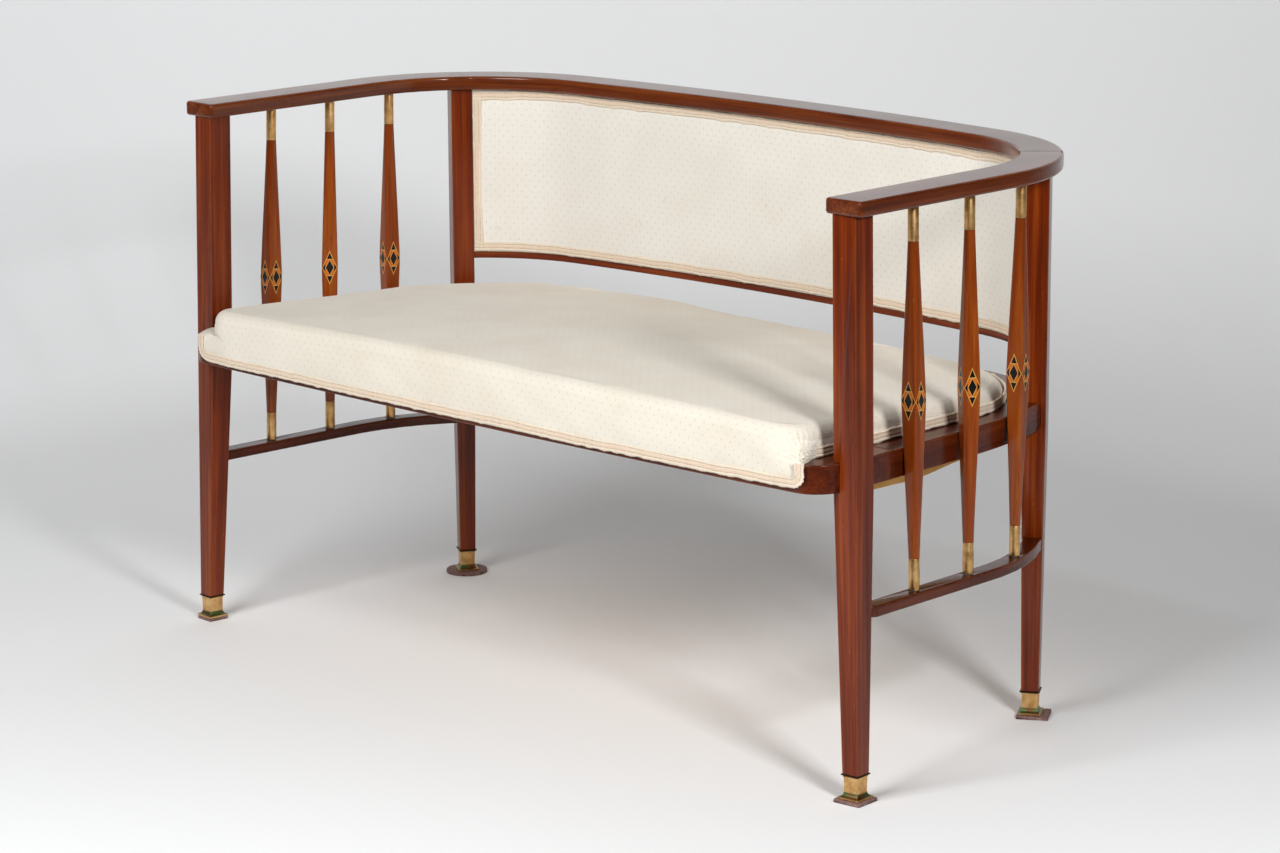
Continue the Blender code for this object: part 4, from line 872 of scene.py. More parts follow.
def square_ring(half, radius, turns=6, flats=4):
    """Rings of soft squares: for each half-width and corner radius, points (across, out) by face.

    A face runs from the middle of one corner to the middle of the next. Its flat part is straight
    and its two ends follow the corner's arc. The last value is the place on the face, 0 to 1.
    """
    half, radius = np.atleast_1d(half)[:, None], np.atleast_1d(radius)[:, None]
    arc = np.linspace(math.pi / 4, 0.0, turns)[:-1]
    flat = np.linspace(-1.0, 1.0, flats)
    straight = half - radius
    first, last = straight + radius * np.sin(arc), straight + radius * np.sin(arc[::-1])
    across = np.concatenate([-first, straight * flat, last], axis=1)
    first, last = straight + radius * np.cos(arc), straight + radius * np.cos(arc[::-1])
    out = np.concatenate([first, half + 0 * flat, last], axis=1)
    place = 0.5 + 0.5 * across / (straight + radius * math.sin(math.pi / 4))
    return across[:, :-1], out[:, :-1], place[:, :-1]


def square_post(half, radius, z, centre, axes, turns=6, flats=4):
    """Rings of a soft-square post: points, their places in its section and round its faces.

    centre is the middle at each height, and axes are the post's own two level directions.
    """
    across, out, place = square_ring(half, radius, turns, flats)
    points, section = [], []
    for face in range(4):
        cos, sin = math.cos(face * math.pi / 2), math.sin(face * math.pi / 2)
        a, b = out * cos - across * sin, out * sin + across * cos
        flat = centre + a[..., None] * axes[0] + b[..., None] * axes[1]
        points.append(np.dstack([flat, np.broadcast_to(z[:, None], a.shape)]))
        section.append(np.dstack([a, b]))
    return np.hstack(points), np.hstack(section), np.hstack([face + place for face in range(4)])


def spindle(word, number):
    name, side = f"spindle_{word}_{number}", SIDES[word]
    z = np.linspace(spindle_low, spindle_high, 96)
    share = 1 - np.abs(2 * (z - spindle_low) / (spindle_high - spindle_low) - 1)
    width = SPINDLE_END_WIDTH + (SPINDLE_MIDDLE_WIDTH - SPINDLE_END_WIDTH) * share
    radius = width / 2 + (SPINDLE_CORNER - width / 2) * np.sin(share * math.pi / 2)
    radius = np.minimum(radius, width * 0.499)
    axis = spindle_axis(word, number)(z)[:, None]
    axes = post_axes(SPINDLE_TURNS[word][number - 1], side)
    points, section, place = square_post(width / 2, radius, z, axis, axes)
    height = np.broadcast_to(z[:, None], place.shape)
    uv = np.dstack([place, height - LOZENGE_AT])
    corners = grid_corners(np.hstack([uv, uv[:, :1] + [4.0, 0.0]]))
    obj = make_tube(
        name + "_looks", points, inlaid_mahogany, "spindle_mahogany",
        stands_for=name, uv=corners, uv_name="face", sharp=50.0,
    )
    half = np.repeat(width / 2, place.shape[1])
    grain = np.dstack([height + GRAIN_SHIFT * number, section])
    store_vector(obj.data, "grain", grain.reshape(-1, 3))
    store_vector(obj.data, "half", np.column_stack([half, half, 0 * half]))


for word in SIDES:
    for number in (1, 2, 3):
        spindle(word, number)
print("spindles from", round(spindle_low, 4), "to", round(spindle_high, 4))

# %% [markdown]
# ## Ferrules and feet
#
# A ferrule is a thin brass tube, pressed over the spindle's end, so its rims are rounded over.
# It is a closed profile carried round the spindle's leaning axis. A foot is a square brass
# shoe: its profile of base, hollow flare, neck and top plate is carried round a soft square.

# %% Ferrule surfaces
FERRULE_BORE = 0.0101
RIM = 0.0006


def ferrule(name, word, number):
    low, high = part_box(name)
    turn = np.linspace(math.pi / 2, 0.0, 5)
    rim_out = SPINDLE_END_WIDTH / 2 - RIM + RIM * np.cos(turn)
    rim_up = RIM * (1 - np.sin(turn))
    radius = np.concatenate([[FERRULE_BORE / 2], rim_out, rim_out[::-1], [FERRULE_BORE / 2]])
    z = np.concatenate([[low[2]], low[2] + rim_up, high[2] - rim_up[::-1], [high[2]]])
    angle = np.linspace(0, 2 * math.pi, 48, endpoint=False)
    axis = spindle_axis(word, number)(z)
    x = axis[:, :1] + radius[:, None] * np.cos(angle)
    y = axis[:, 1:] + radius[:, None] * np.sin(angle)
    points = np.stack([x, y, np.broadcast_to(z[:, None], x.shape)], axis=-1)
    faces = grid_faces(*points.shape[:2], wrap_rows=True, wrap_cols=True)
    make_piece(
        name + "_looks", points, faces.tolist(), ferrule_brass, "aged_brass",
        stands_for=name, sharp=40.0,
    )


for word in SIDES:
    for number in (1, 2, 3):
        ferrule(f"ferrule_top_{word}_{number}", word, number)
        ferrule(f"ferrule_bottom_{word}_{number}", word, number)
print("ferrules of", TOP_FERRULE_LENGTH, "and", BOTTOM_FERRULE_LENGTH, "m")

# %% Foot surfaces
FOOT_BASE, FOOT_NECK, FOOT_COLLAR = 0.0310, 0.0212, 0.0265
BASE_EDGE, FLARE_HEIGHT, COLLAR_EDGE, COVE_HEIGHT = 0.0026, 0.0062, 0.0016, 0.0030
SOCKET, SOCKET_DEPTH = 0.0150, 0.0220
EASED, CREASE, BEAD = 0.0004, 0.0003, 0.0006


def foot_profile(bottom):
    """Half-widths and heights: base, concave flare, neck, cove, top plate and the socket."""
    base, neck, plate, socket = (w / 2 for w in (FOOT_BASE, FOOT_NECK, FOOT_COLLAR, SOCKET))
    turn = np.linspace(0.0, math.pi / 2, 9)
    flare, cove = bottom + BASE_EDGE, FOOT_TOP - COLLAR_EDGE
    flare_half = base - (base - neck) * np.sin(turn) - CREASE
    profile = [(socket, bottom), (base - EASED, bottom), (base, bottom + EASED), (base, flare)]
    profile += zip(flare_half, flare + FLARE_HEIGHT * (1 - np.cos(turn)))
    profile += [(neck, cove - COVE_HEIGHT), (neck + BEAD, cove - COVE_HEIGHT + EASED)]
    profile += [(neck + BEAD, cove - 2 * EASED), (plate - CREASE, cove), (plate, cove + CREASE)]
    profile += [(plate, FOOT_TOP - CREASE), (plate - EASED, FOOT_TOP), (socket, FOOT_TOP)]
    profile.append((socket, FOOT_TOP - SOCKET_DEPTH))
    return np.array(profile).T


def foot(end, word):
    name, side = f"brass_foot_{end}_{word}", SIDES[word]
    half, z = foot_profile(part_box(name)[0][2])
    centre = leg_centre(end, side, FOOT_TOP)[0]
    axes = post_axes(LEG_TURN[end], side)
    points = square_post(half, np.full(len(half), BEAD), z, centre, axes, 4, 4)[0]
    make_tube(name + "_looks", points, foot_brass, "aged_brass", stands_for=name, sharp=34.0)


for end in ("front", "back"):
    for word in SIDES:
        foot(end, word)
        dressed(f"glide_pad_{end}_{word}", glide_felt)
print("feet", round(FOOT_TOP, 4), "m high to their plates")

# %% [markdown]
# ## The seat cushion
#
# The seat is a padded cover over the sprung frame: nearly flat on top, falling to the back, with
# a full rounded shoulder and a front wall that is pulled down over the front rail. Its rings run
# round the whole edge, from the hem up to the shoulder, and the top is a grid whose border is
# the last ring. The UV map is the cloth laid flat, so ribs and dots run on over the shoulder.
# At the right front corner the cloth is drawn to one point, and at the left one it lies over
# the frame's top in a soft bag. Each corner therefore has its own sizes.

# %% Cushion sizes
CUSHION_BACK_INSET, CUSHION_SIDE_INSET = 0.0400, 0.0455
CUSHION_COVER = 0.004
CUSHION_CORNER = 0.046
CUSHION_HALF_WIDTH = float(rail_line(FRONT_LEG_AT)[0][0]) - CUSHION_SIDE_INSET
FRONT_HEIGHT, BACK_HEIGHT = 0.0510, 0.0245
SIDE_FALL = 0.0090
CROWN = 0.006
SHOULDER = 0.018
SHOULDER_SHARE = 0.75
BULGE = 0.002
TUCK = 0.003
HEM_DROP = 0.0300
BASE = SEAT_TOP + GAP
ACROSS, DEEP = 230, 110
WALL_ROWS = 60
REAR_LIFT, REAR_SINK = 0.0045, 0.0048
SET_STARTS_AT, SET_TURNS_AT = -0.50, -0.10
SEAM_X, SEAM_WIDTH, SEAM_DEPTH = -0.045, 0.004, 0.0010


def cushion_inset(distance):
    """How far inside the rail's line the cushion ends: less along the back than at the sides."""
    share = np.clip((BACK_LEG_AT - np.abs(distance)) / SPINDLE_PITCH, 0.0, 1.0)
    return CUSHION_SIDE_INSET + (CUSHION_BACK_INSET - CUSHION_SIDE_INSET) * share


def cushion_height(x, y):
    """Height of the top above the frame: it falls to the back and is crowned in the middle."""
    share = np.clip((y - SEAT_FRONT_Y) / (BACK_Y - SEAT_FRONT_Y), 0.0, 1.0)
    fall = FRONT_HEIGHT + (BACK_HEIGHT - FRONT_HEIGHT) * share
    across = np.clip(1 - (x / CUSHION_HALF_WIDTH) ** 2, 0.0, 1.0)
    along = np.clip(1 - (2 * share - 1) ** 2, 0.0, 1.0)
    return fall - SIDE_FALL * (1 - across) + CROWN * across * along + rear_set(x, share)


def rear_set(x, share):
    """Long use left the rear of the top higher left of the cover's seam than right of it."""
    right = 0.5 + 0.5 * np.tanh((x - SET_TURNS_AT) / 0.05)
    left = (1 - right) * np.clip((x - SET_STARTS_AT) / 0.10, 0.0, 1.0)
    return share**2 * (REAR_LIFT * left - REAR_SINK * right)


def spaced(share, gather=0.82):
    """Shares of a side that lie closer together at both of its ends."""
    return share - gather * np.sin(2 * math.pi * share) / (2 * math.pi)


print("cushion", round(2 * CUSHION_HALF_WIDTH, 3), "m wide at its front")

# %% The edge seen from above
SIDE_POINTS, ARC_POINTS = 700, 60
CORNER_STOP = 0.30


def half_edge():
    """The right half of the edge as a dense line, from the middle of the back to the front's."""
    distance = np.linspace(0.0, FRONT_LEG_AT, SIDE_POINTS)
    side = beside_rail(distance, -cushion_inset(distance))
    centre_x = CUSHION_HALF_WIDTH - CUSHION_CORNER
    centre_y = float(seat_front_y(centre_x)) - CUSHION_COVER + CUSHION_CORNER
    turn = np.linspace(math.pi / 2, 0.0, ARC_POINTS)
    round_corner = np.column_stack([np.sin(turn), -np.cos(turn)])
    arc = [centre_x, centre_y] + CUSHION_CORNER * round_corner
    x = np.linspace(centre_x, 0.0, 300)[1:]
    return np.concatenate([side, arc, np.column_stack([x, seat_front_y(x) - CUSHION_COVER])])


def unit(vectors):
    """Each row at length 1."""
    return vectors / np.linalg.norm(vectors, axis=1)[:, None]


def line_lengths(line):
    """The length of a line from its start to each of its points."""
    return np.concatenate([[0.0], np.cumsum(np.linalg.norm(np.diff(line, axis=0), axis=1))])


def at_lengths(line, lengths, wanted):
    """The values of a line at the wanted lengths."""
    return np.column_stack([np.interp(wanted, lengths, column) for column in line.T])


edge_half = half_edge()
edge_line = np.concatenate([edge_half, (edge_half[1:] * [-1.0, 1.0])[::-1]])
edge_lengths = line_lengths(edge_line)
whole = edge_lengths[-1]
back_corner = BACK_HALF_LENGTH + CORNER_STOP * CORNER_LENGTH
front_corner = line_lengths(edge_half)[SIDE_POINTS + ARC_POINTS // 2 - 2]
share_across, share_deep = np.arange(ACROSS) / ACROSS, np.arange(DEEP) / DEEP
edge_stops = np.concatenate(
    [
        -back_corner + 2 * back_corner * spaced(share_across),
        back_corner + (front_corner - back_corner) * spaced(share_deep),
        front_corner + (whole - 2 * front_corner) * spaced(share_across),
        whole - front_corner + (front_corner - back_corner) * spaced(share_deep),
    ]
)
edge = at_lengths(edge_line, edge_lengths, edge_stops % whole)
edge_along = unit(np.roll(edge, -1, axis=0) - np.roll(edge, 1, axis=0))
edge_inward = np.column_stack([edge_along[:, 1], -edge_along[:, 0]])
from_front = edge_stops - whole / 2
print("cushion edge", round(whole, 3), "m round,", len(edge), "points")

# %% Frame edge under the cover's hem
BRAID_WIDTH = 0.0125
half_band = BRAID_WIDTH / 2
HEM_MIDDLE = SEAT_TOP - HEM_DROP + half_band
HEM_TOP = SEAT_TOP + 0.0002
BRAID_OVERLAP = 0.0006
OUT_OF_PAD = 0.0012

# The right corner is 1 and the left one -1. The braid climbs at an angle round the frame's
# corner, ends a little above the frame's top and bends with a radius of its own.
SKIRT_COVER = {1: CUSHION_COVER, -1: 0.0010}
SKIRT_TURN = {1: math.radians(19.0), -1: math.radians(86.0)}
CORNER_RUN = {1: (0.4900, 0.5800), -1: (0.4900, 0.6350)}
CLIMB_AT = {1: math.radians(15.0), -1: math.radians(11.0)}
CLIMB_TO = {1: 0.0015, -1: 0.0050}
BEND_RADIUS = {1: 0.0115, -1: 0.0150}

# Back over the frame's top: x, and y from the centre of the frame's corner
PAD_FOOT_X = CUSHION_HALF_WIDTH + TUCK
RETURN_PATH = {
    1: [(0.5625, -0.022), (PAD_FOOT_X, -0.010)],
    -1: [(0.5830, 0.0005), (0.5800, 0.022), (PAD_FOOT_X, 0.030)],
}
frame_corner_y = float(seat_front_y(SEAT_CORNER_X)) + SEAT_CORNER_RADIUS


def climb_place(side):
    """The distance along the hem at which the front braid has turned upright."""
    return SEAT_CORNER_X + (CUSHION_COVER + SEAT_CORNER_RADIUS) * CLIMB_AT[side]


def hem_height(side, along):
    """The cloth ends just inside the braid's outer edge, which is rounded where it turns up."""
    radius = BEND_RADIUS[side] + half_band - BRAID_OVERLAP
    beyond = np.clip(along - climb_place(side) + BEND_RADIUS[side], 0.0, radius)
    low = HEM_MIDDLE + BEND_RADIUS[side] - np.sqrt(radius**2 - beyond**2)
    return np.where(beyond < radius, np.minimum(low, HEM_TOP), HEM_TOP)


def hem_line(side, last=None):
    """Where the cover's skirt runs at one front corner of the frame, seen from above."""
    cover = SKIRT_COVER[side]
    start_x = CUSHION_HALF_WIDTH - CUSHION_CORNER
    front = np.linspace(start_x, SEAT_CORNER_X, 12)
    share = np.linspace(0.0, 1.0, 12)
    stands_out = CUSHION_COVER + (cover - CUSHION_COVER) * share
    line = [np.column_stack([front, seat_front_y(front) - stands_out])]
    turn = np.linspace(0.0, last or SKIRT_TURN[side], 24)[1:]
    round_corner = np.column_stack([np.sin(turn), -np.cos(turn)])
    line.append([SEAT_CORNER_X, frame_corner_y] + (SEAT_CORNER_RADIUS + cover) * round_corner)
    return np.concatenate(line) * [side, 1.0]


def skirt_and_return(side):
    """The skirt's line, then its way back over the frame's top to the pad's foot."""
    back = np.array(RETURN_PATH[side]) + [0.0, frame_corner_y]
    return np.concatenate([hem_line(side), back * [side, 1.0]])


shelf_ring = edge - edge_inward * OUT_OF_PAD
hem_along = np.zeros(len(edge))
hem_rise = np.full(len(edge), HEM_TOP)
front_part = np.abs(from_front) <= CORNER_RUN[1][0]
hem_rise[front_part] = SEAT_TOP - HEM_DROP
shelf_ring[front_part] = edge[front_part]
for side, (first, last) in CORNER_RUN.items():
    place = -from_front * side
    chosen = (place > first) & (place <= last)
    line = skirt_and_return(side)
    line = np.concatenate([[[side * first, seat_front_y(first) - CUSHION_COVER]], line])
    lengths = line_lengths(line)
    share = (place[chosen] - first) / (last - first)
    shelf_ring[chosen] = at_lengths(line, lengths, share * lengths[-1])
    hem_along[chosen] = side * (first + share * lengths[-1])
    hem_rise[chosen] = hem_height(side, np.abs(hem_along[chosen]))
print("hem from", round(hem_rise.min(), 4), "to", round(hem_rise.max(), 4), "m above the floor")

# %% Rings from the hem to the shoulder
LEDGE_SWELL, LEDGE_RISE = 0.0055, 0.006
FACE_PART, LEDGE_PART = 0.36, 0.22
BAGGY_FROM, BAGGY_STEP = 0.003, 0.008
SMOOTHINGS = 4
TURNED_IN, CLOTH_THICKNESS = 0.0020, 0.0004


def ring3(flat, z):
    """A flat ring lifted to a height, or to one height for each point."""
    return np.column_stack([flat, np.broadcast_to(z, len(flat))])


def wall_rows(wall_top):
    """Rows of the cloth from the hem to the top of the wall, as one array.

    Along the front and at the right corner the cloth is drawn straight to the hem. At the left
    corner it goes up the frame's face, lies over the frame's top in a soft bag and goes up again
    at the pad. How far the frame stands out beyond the pad decides how much of each there is.
    """
    reach = np.linalg.norm(shelf_ring - edge, axis=1)
    baggy = np.clip((reach - BAGGY_FROM) / BAGGY_STEP, 0.0, 1.0) * (from_front > 0)
    share = np.linspace(0.0, 1.0, WALL_ROWS)[:, None]
    pad_from = FACE_PART + LEDGE_PART
    face = np.clip(share / FACE_PART, 0.0, 1.0)
    ledge = np.clip((share - FACE_PART) / LEDGE_PART, 0.0, 1.0)
    pad = np.clip((share - pad_from) / (1 - pad_from), 0.0, 1.0)
    low = np.maximum(SEAT_TOP - 0.001, hem_rise)
    high = SEAT_TOP + LEDGE_RISE
    bag_z = hem_rise + (low - hem_rise) * face + (high - low) * ledge + (wall_top - high) * pad
    bag_z = bag_z + LEDGE_SWELL * np.sin(math.pi * ledge)
    straight_z = hem_rise + (wall_top - hem_rise) * share
    z = baggy * bag_z + (1 - baggy) * straight_z
    inward = (baggy * ledge + (1 - baggy) * share**1.5)[..., None]
    swell = baggy * np.sin(math.pi * pad) + (1 - baggy) * np.sin(math.pi * share)
    flat = shelf_ring + (edge - shelf_ring) * inward - edge_inward * (BULGE * swell)[..., None]
    rows = np.concatenate([flat, z[..., None]], axis=-1)
    for _ in range(SMOOTHINGS):
        rows[1:-1] = (rows[:-2] + 2 * rows[1:-1] + rows[2:]) / 4
    return rows


def cushion_rings():
    """All rings from the closed underside up, as an array of rows."""
    edge_rise = cushion_height(*edge.T)
    shoulder = np.minimum(SHOULDER, edge_rise * SHOULDER_SHARE)
    wall = edge_rise - shoulder
    inner = shelf_ring + edge_inward * TURNED_IN
    turned = ring3(inner, np.minimum(hem_rise + CLOTH_THICKNESS, SEAT_TOP))
    under = [ring3(inner, SEAT_TOP + 0.0001), turned]
    over = []
    for turn in np.radians(np.arange(9, 90, 9)):
        flat = edge + edge_inward * (shoulder * (1 - math.cos(turn)))[:, None]
        over.append(ring3(flat, BASE + wall + shoulder * math.sin(turn)))
    flat = edge + edge_inward * shoulder[:, None] * 1.05
    over.append(ring3(flat, BASE + cushion_height(*flat.T)))
    return np.concatenate([under, wall_rows(BASE + wall), over])


def four_sides(border):
    """Back, right, front and left of a closed border, from left to right and front to back."""
    right_end, front_end = ACROSS + DEEP, 2 * ACROSS + DEEP
    left = np.concatenate([border[front_end:], border[:1]])
    right, front = border[ACROSS : right_end + 1][::-1], border[right_end : front_end + 1][::-1]
    return border[: ACROSS + 1], right, front, left


def fill_grid(border):
    """A grid inside a closed border: straight blends of opposite sides, less those of corners."""
    back, right, front, left = four_sides(border)
    u = spaced(np.linspace(0, 1, ACROSS + 1))[None, :, None]
    v = spaced(np.linspace(0, 1, DEEP + 1))[:, None, None]
    across = (1 - u) * left[:, None] + u * right[:, None]
    deep = (1 - v) * front[None] + v * back[None]
    corners = (1 - u) * (1 - v) * front[0] + u * (1 - v) * front[-1]
    corners = corners + (1 - u) * v * back[0] + u * v * back[-1]
    return across + deep - corners


rows = cushion_rings()
top = fill_grid(rows[-1][:, :2])
top_z = BASE + cushion_height(top[..., 0], top[..., 1])
print("cushion rings", rows.shape, "top grid", top.shape)

# %% [markdown]
# The pleats are a fan. A point on the wall has a distance along the edge and a height above the
# gathering point, and the angle between them says which pleat it lies in. A wave in that angle
# pushes the cloth in and out, and fades with distance. At the left corner the cloth is also
# gathered into short upright folds beside the braid. Shallow ripples keep the rest alive.


# %% Pleats and ripples
# By corner: the gathering point's place along the edge, the folds, their reach and depth
PLEATS = {1: (0.5600, 13.0, 0.023, 0.0050), -1: (0.5850, 8.0, 0.022, 0.0018)}
GATHER_AT, GATHER_WIDTH, GATHER_HEIGHT = 0.008, 0.009, 0.012
GATHER_PITCH, GATHER_DEPTH = 0.0042, 0.0022
WALL_WAVE, TOP_WAVE, SEAM_SLANT = 0.0007, 0.0009, 0.05


def fan(along, up, folds, reach):
    """Pleats that meet at a point: sharp valleys between round folds."""
    angle = np.arctan2(along, np.maximum(up, 0.0) + 0.002)
    distance = np.hypot(along, up)
    fold = np.abs(np.sin(angle * folds)) ** 0.7 - 0.6
    above = np.clip(up / 0.003, 0.0, 1.0)
    return fold * above * np.exp(-((distance / reach) ** 2)) * np.clip(distance / 0.005, 0.0, 1.0)


def pleat_depth(rows):
    """How far each point of the wall is pushed out by both fans and by the left gathers."""
    up = rows[..., 2] - SEAT_TOP - 0.001
    depth = 0.0
    for side, (place, folds, reach, deep) in PLEATS.items():
        depth = depth + fan(-side * from_front - place, up, folds, reach) * deep
    inside = climb_place(-1) - half_band + hem_along
    near = np.exp(-(((inside - GATHER_AT) / GATHER_WIDTH) ** 2))
    near = near * np.clip(1.3 - up / GATHER_HEIGHT, 0.0, 1.0)
    return depth + (np.abs(np.sin(inside * math.pi / GATHER_PITCH)) - 0.5) * near * GATHER_DEPTH


def grid_normals(points):
    """Normals of a grid that closes on itself, from its differences along both directions."""
    along = np.roll(points, -1, axis=1) - np.roll(points, 1, axis=1)
    up = np.gradient(points, axis=0)
    normal = np.cross(along, up)
    return normal / np.maximum(np.linalg.norm(normal, axis=-1), 1e-9)[..., None]


wall_wave = ripple(rows[..., 0], rows[..., 2] * 3 + rows[..., 1], 4, 12, 0.05, 0.3) * WALL_WAVE
depth = pleat_depth(rows) + wall_wave
depth[:3] = 0.0  # the hem stays where it is
rows = rows + grid_normals(rows) * depth[..., None]
top_wave = ripple(top[..., 0], top[..., 1], 7, 12, 0.08, 0.4) * TOP_WAVE
from_seam = top[..., 0] - SEAM_X - SEAM_SLANT * top[..., 1]
seam = np.exp(-((from_seam / SEAM_WIDTH) ** 2)) * SEAM_DEPTH
top_points = np.dstack([top, top_z + top_wave - seam])
print("pleats push the cloth by", round(depth.min(), 4), "to", round(depth.max(), 4), "m")

# %% Cushion mesh
columns = rows.shape[1]
numbers = np.full(top.shape[:2], -1)
border = (len(rows) - 1) * columns + np.arange(columns)
numbers[-1, :], numbers[:, -1], numbers[0, :], numbers[:, 0] = four_sides(border)
inner = numbers < 0
numbers[inner] = rows.shape[0] * columns + np.arange(inner.sum())
cushion_points = np.concatenate([rows.reshape(-1, 3), top_points[inner]])
wall_faces = grid_faces(len(rows), columns, wrap_cols=True)
top_faces = grid_corners(numbers[..., None]).reshape(-1, 4)
steps = np.linalg.norm(np.diff(rows, axis=0), axis=-1)
down = np.concatenate([np.cumsum(steps[::-1], axis=0)[::-1], np.zeros((1, columns))])
wall_uv = rows[-1, :, :2] - edge_inward * down[..., None]
wall_uv = np.concatenate([wall_uv, wall_uv[:, :1]], axis=1)
cushion_uv = np.concatenate([grid_corners(wall_uv), grid_corners(top)])
cushion_faces = [*wall_faces.tolist(), *top_faces.tolist(), list(range(columns))]
cushion = make_piece(
    "seat_cover", cushion_points, cushion_faces, seat_cloth, "cream_cloth",
    stands_for="seat_cushion", uv=cushion_uv,
)
print("seat cover faces", len(cushion_faces))

# %% [markdown]
# ## The back panel
#
# The back is a thin pad between the back legs. Its section is carried along the rail's line:
# flat margins for the braid, and a shallow crown between them. The ends stop at the legs' faces,
# which are turned, so each depth of the section has its own last place on the line. A thin
# canvas closes the panel's rear and is carried along the same line.

# %% Back panel surface
LOWER_RAIL_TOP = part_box("lower_back_rail")[1][2]
PANEL_LOW, PANEL_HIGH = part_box("back_cushion")[0][2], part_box("back_cushion")[1][2]
PANEL_FRONT, PANEL_REAR = 0.0160, 0.0055
PANEL_CROWN, CROWN_FADE, PANEL_RIPPLE = 0.0055, 0.060, 0.0004
LAP_IN = 0.0128


def ends_at_legs(offset):
    """The distance along the line at which each offset meets the back leg's rear face."""
    distance = np.linspace(BACK_LEG_AT - 0.06, BACK_LEG_AT, 300)
    centre = beside_rail(BACK_LEG_AT, -BACK_LEG_INSET)
    _, forward = post_axes(LEG_TURN["back"], 1)
    ends = []
    for value in offset:
        flat = beside_rail(distance, np.full(len(distance), value))
        into_leg = (flat - centre) @ forward + BACK_LEG[0] / 2 + GAP
        ends.append(np.interp(0.0, into_leg, distance))
    return np.array(ends)


def panel_point(share, offset, z):
    """Points of the panel. share runs from -1 at the left leg to 1 at the right one."""
    distance = share * np.interp(offset, PANEL_OFFSETS, PANEL_ENDS)
    flat = beside_rail(distance, offset)
    return np.concatenate([flat, np.broadcast_to(z, distance.shape)[..., None]], axis=-1), distance


PANEL_OFFSETS = np.linspace(-0.026, 0.010, 19)
PANEL_ENDS = ends_at_legs(PANEL_OFFSETS)
ALONG = 260


def back_panel():
    """The section as offsets and heights, carried along. The crown fades out at both ends."""
    rise = np.linspace(0.0, 1.0, 41)
    low, high = PANEL_LOW + BRAID_WIDTH, PANEL_HIGH - BRAID_WIDTH
    swell = np.sin(math.pi * rise) ** 0.7
    front_z = np.concatenate([[PANEL_LOW], low + (high - low) * rise, [PANEL_HIGH]])
    front_swell = np.concatenate([[0.0], swell, [0.0]])
    back_z = np.array([PANEL_HIGH, LOWER_RAIL_TOP + GAP, LOWER_RAIL_TOP + GAP, PANEL_LOW])
    back_offset = np.array([PANEL_REAR, PANEL_REAR, -LAP_IN, -LAP_IN])
    share = spaced(np.linspace(0.0, 1.0, ALONG), 0.4) * 2 - 1
    last = PANEL_ENDS.mean()
    from_end = (1 - np.abs(share)) * last / CROWN_FADE
    crown = PANEL_CROWN * np.sin(np.clip(from_end, 0.0, 1.0) * math.pi / 2)
    front = -PANEL_FRONT - crown[:, None] * front_swell[None]
    uneven = ripple(share[:, None] * last, front_z[None], 21, 10, 0.06, 0.3)
    front = front - uneven * PANEL_RIPPLE * front_swell
    offset = np.concatenate([front, np.broadcast_to(back_offset, (ALONG, 4))], axis=1)
    z = np.concatenate([front_z, back_z])
    points, distance = panel_point(np.broadcast_to(share[:, None], offset.shape), offset, z)
    around = np.concatenate([front_z, PANEL_HIGH + np.array([0.02, 0.20, 0.22, 0.24])])
    uv = np.stack([distance, np.broadcast_to(around, distance.shape)], axis=-1)
    corners = grid_corners(np.concatenate([uv, uv[:, :1]], axis=1))
    obj = make_tube(
        "back_pad", points, panel_cloth, "cream_cloth",
        stands_for="back_cushion", uv=corners, sharp=50.0,
    )


back_panel()
print("panel from", round(PANEL_LOW, 4), "to", round(PANEL_HIGH, 4), "m above the floor")

# %% Cloth on the panel's rear
REAR_CLOTH_THICKNESS = 0.0012
REAR_CLOTH_PUFF, REAR_CLOTH_RIPPLE = 0.0008, 0.0004


def rear_cover():
    """A thin cloth along the panel's rear, tacked at its edges and a little fuller between."""
    low, high = (corner[2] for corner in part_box("back_rear_cover"))
    rise = np.linspace(0.0, 1.0, 25)
    share = np.linspace(-1.0, 1.0, 160)[:, None]
    length = 2 * PANEL_ENDS.mean()
    z = low + (high - low) * rise
    inner = PANEL_REAR + GAP
    uneven = REAR_CLOTH_RIPPLE * ripple(share * length / 2, z[None], 23, 10, 0.06, 0.3)
    puffed = (REAR_CLOTH_PUFF + uneven) * np.sin(math.pi * rise)
    outer = inner + REAR_CLOTH_THICKNESS + puffed
    offset = np.concatenate([outer, np.full((len(share), 2), inner)], axis=1)
    heights = np.concatenate([z, [high, low]])
    points, _ = panel_point(np.broadcast_to(share, offset.shape), offset, heights)
    obj = make_tube(
        "rear_cover", points, ochre_canvas, "ochre_canvas",
        stands_for="back_rear_cover", sharp=50.0,
    )
    flat = (float(length), float(high - low))
    return flat


print("rear cloth laid flat", [round(side, 4) for side in rear_cover()])

# %% [markdown]
# ## Braid
#
# A braid is a section carried along a line in space. At each place the line has a direction
# across the band and one that it faces. The section has a round cord near each edge and a ribbed
# band between, the cords' height follows their twist, and small loops widen the edges.

# %% Braid surfaces
BRAID_THICKNESS = 0.0020
BRAID_STEP = 0.00075
LOOP_PITCH, LOOP_DEPTH = 0.0036, 0.0018
FRAY_DEPTH, DRIFT_DEPTH = 0.0008, 0.0006
# Columns of the section from edge to edge, and cords as their middle, half width and height
SECTION = np.array(
    [-1.0, -0.93, -0.8, -0.62, -0.46, -0.36, -0.24, -0.02, 0.22, 0.44, 0.58, 0.68, 0.80, 0.92, 1.0]
)
CORDS = ((-0.66, 0.30, 0.62), (0.79, 0.22, 0.62), (0.10, 0.46, 0.46))


def uneven_along(distance, seed, waves, shortest, longest):
    """A smooth unevenness along one line."""
    return ripple(distance, 0 * distance, seed, waves, shortest, longest)


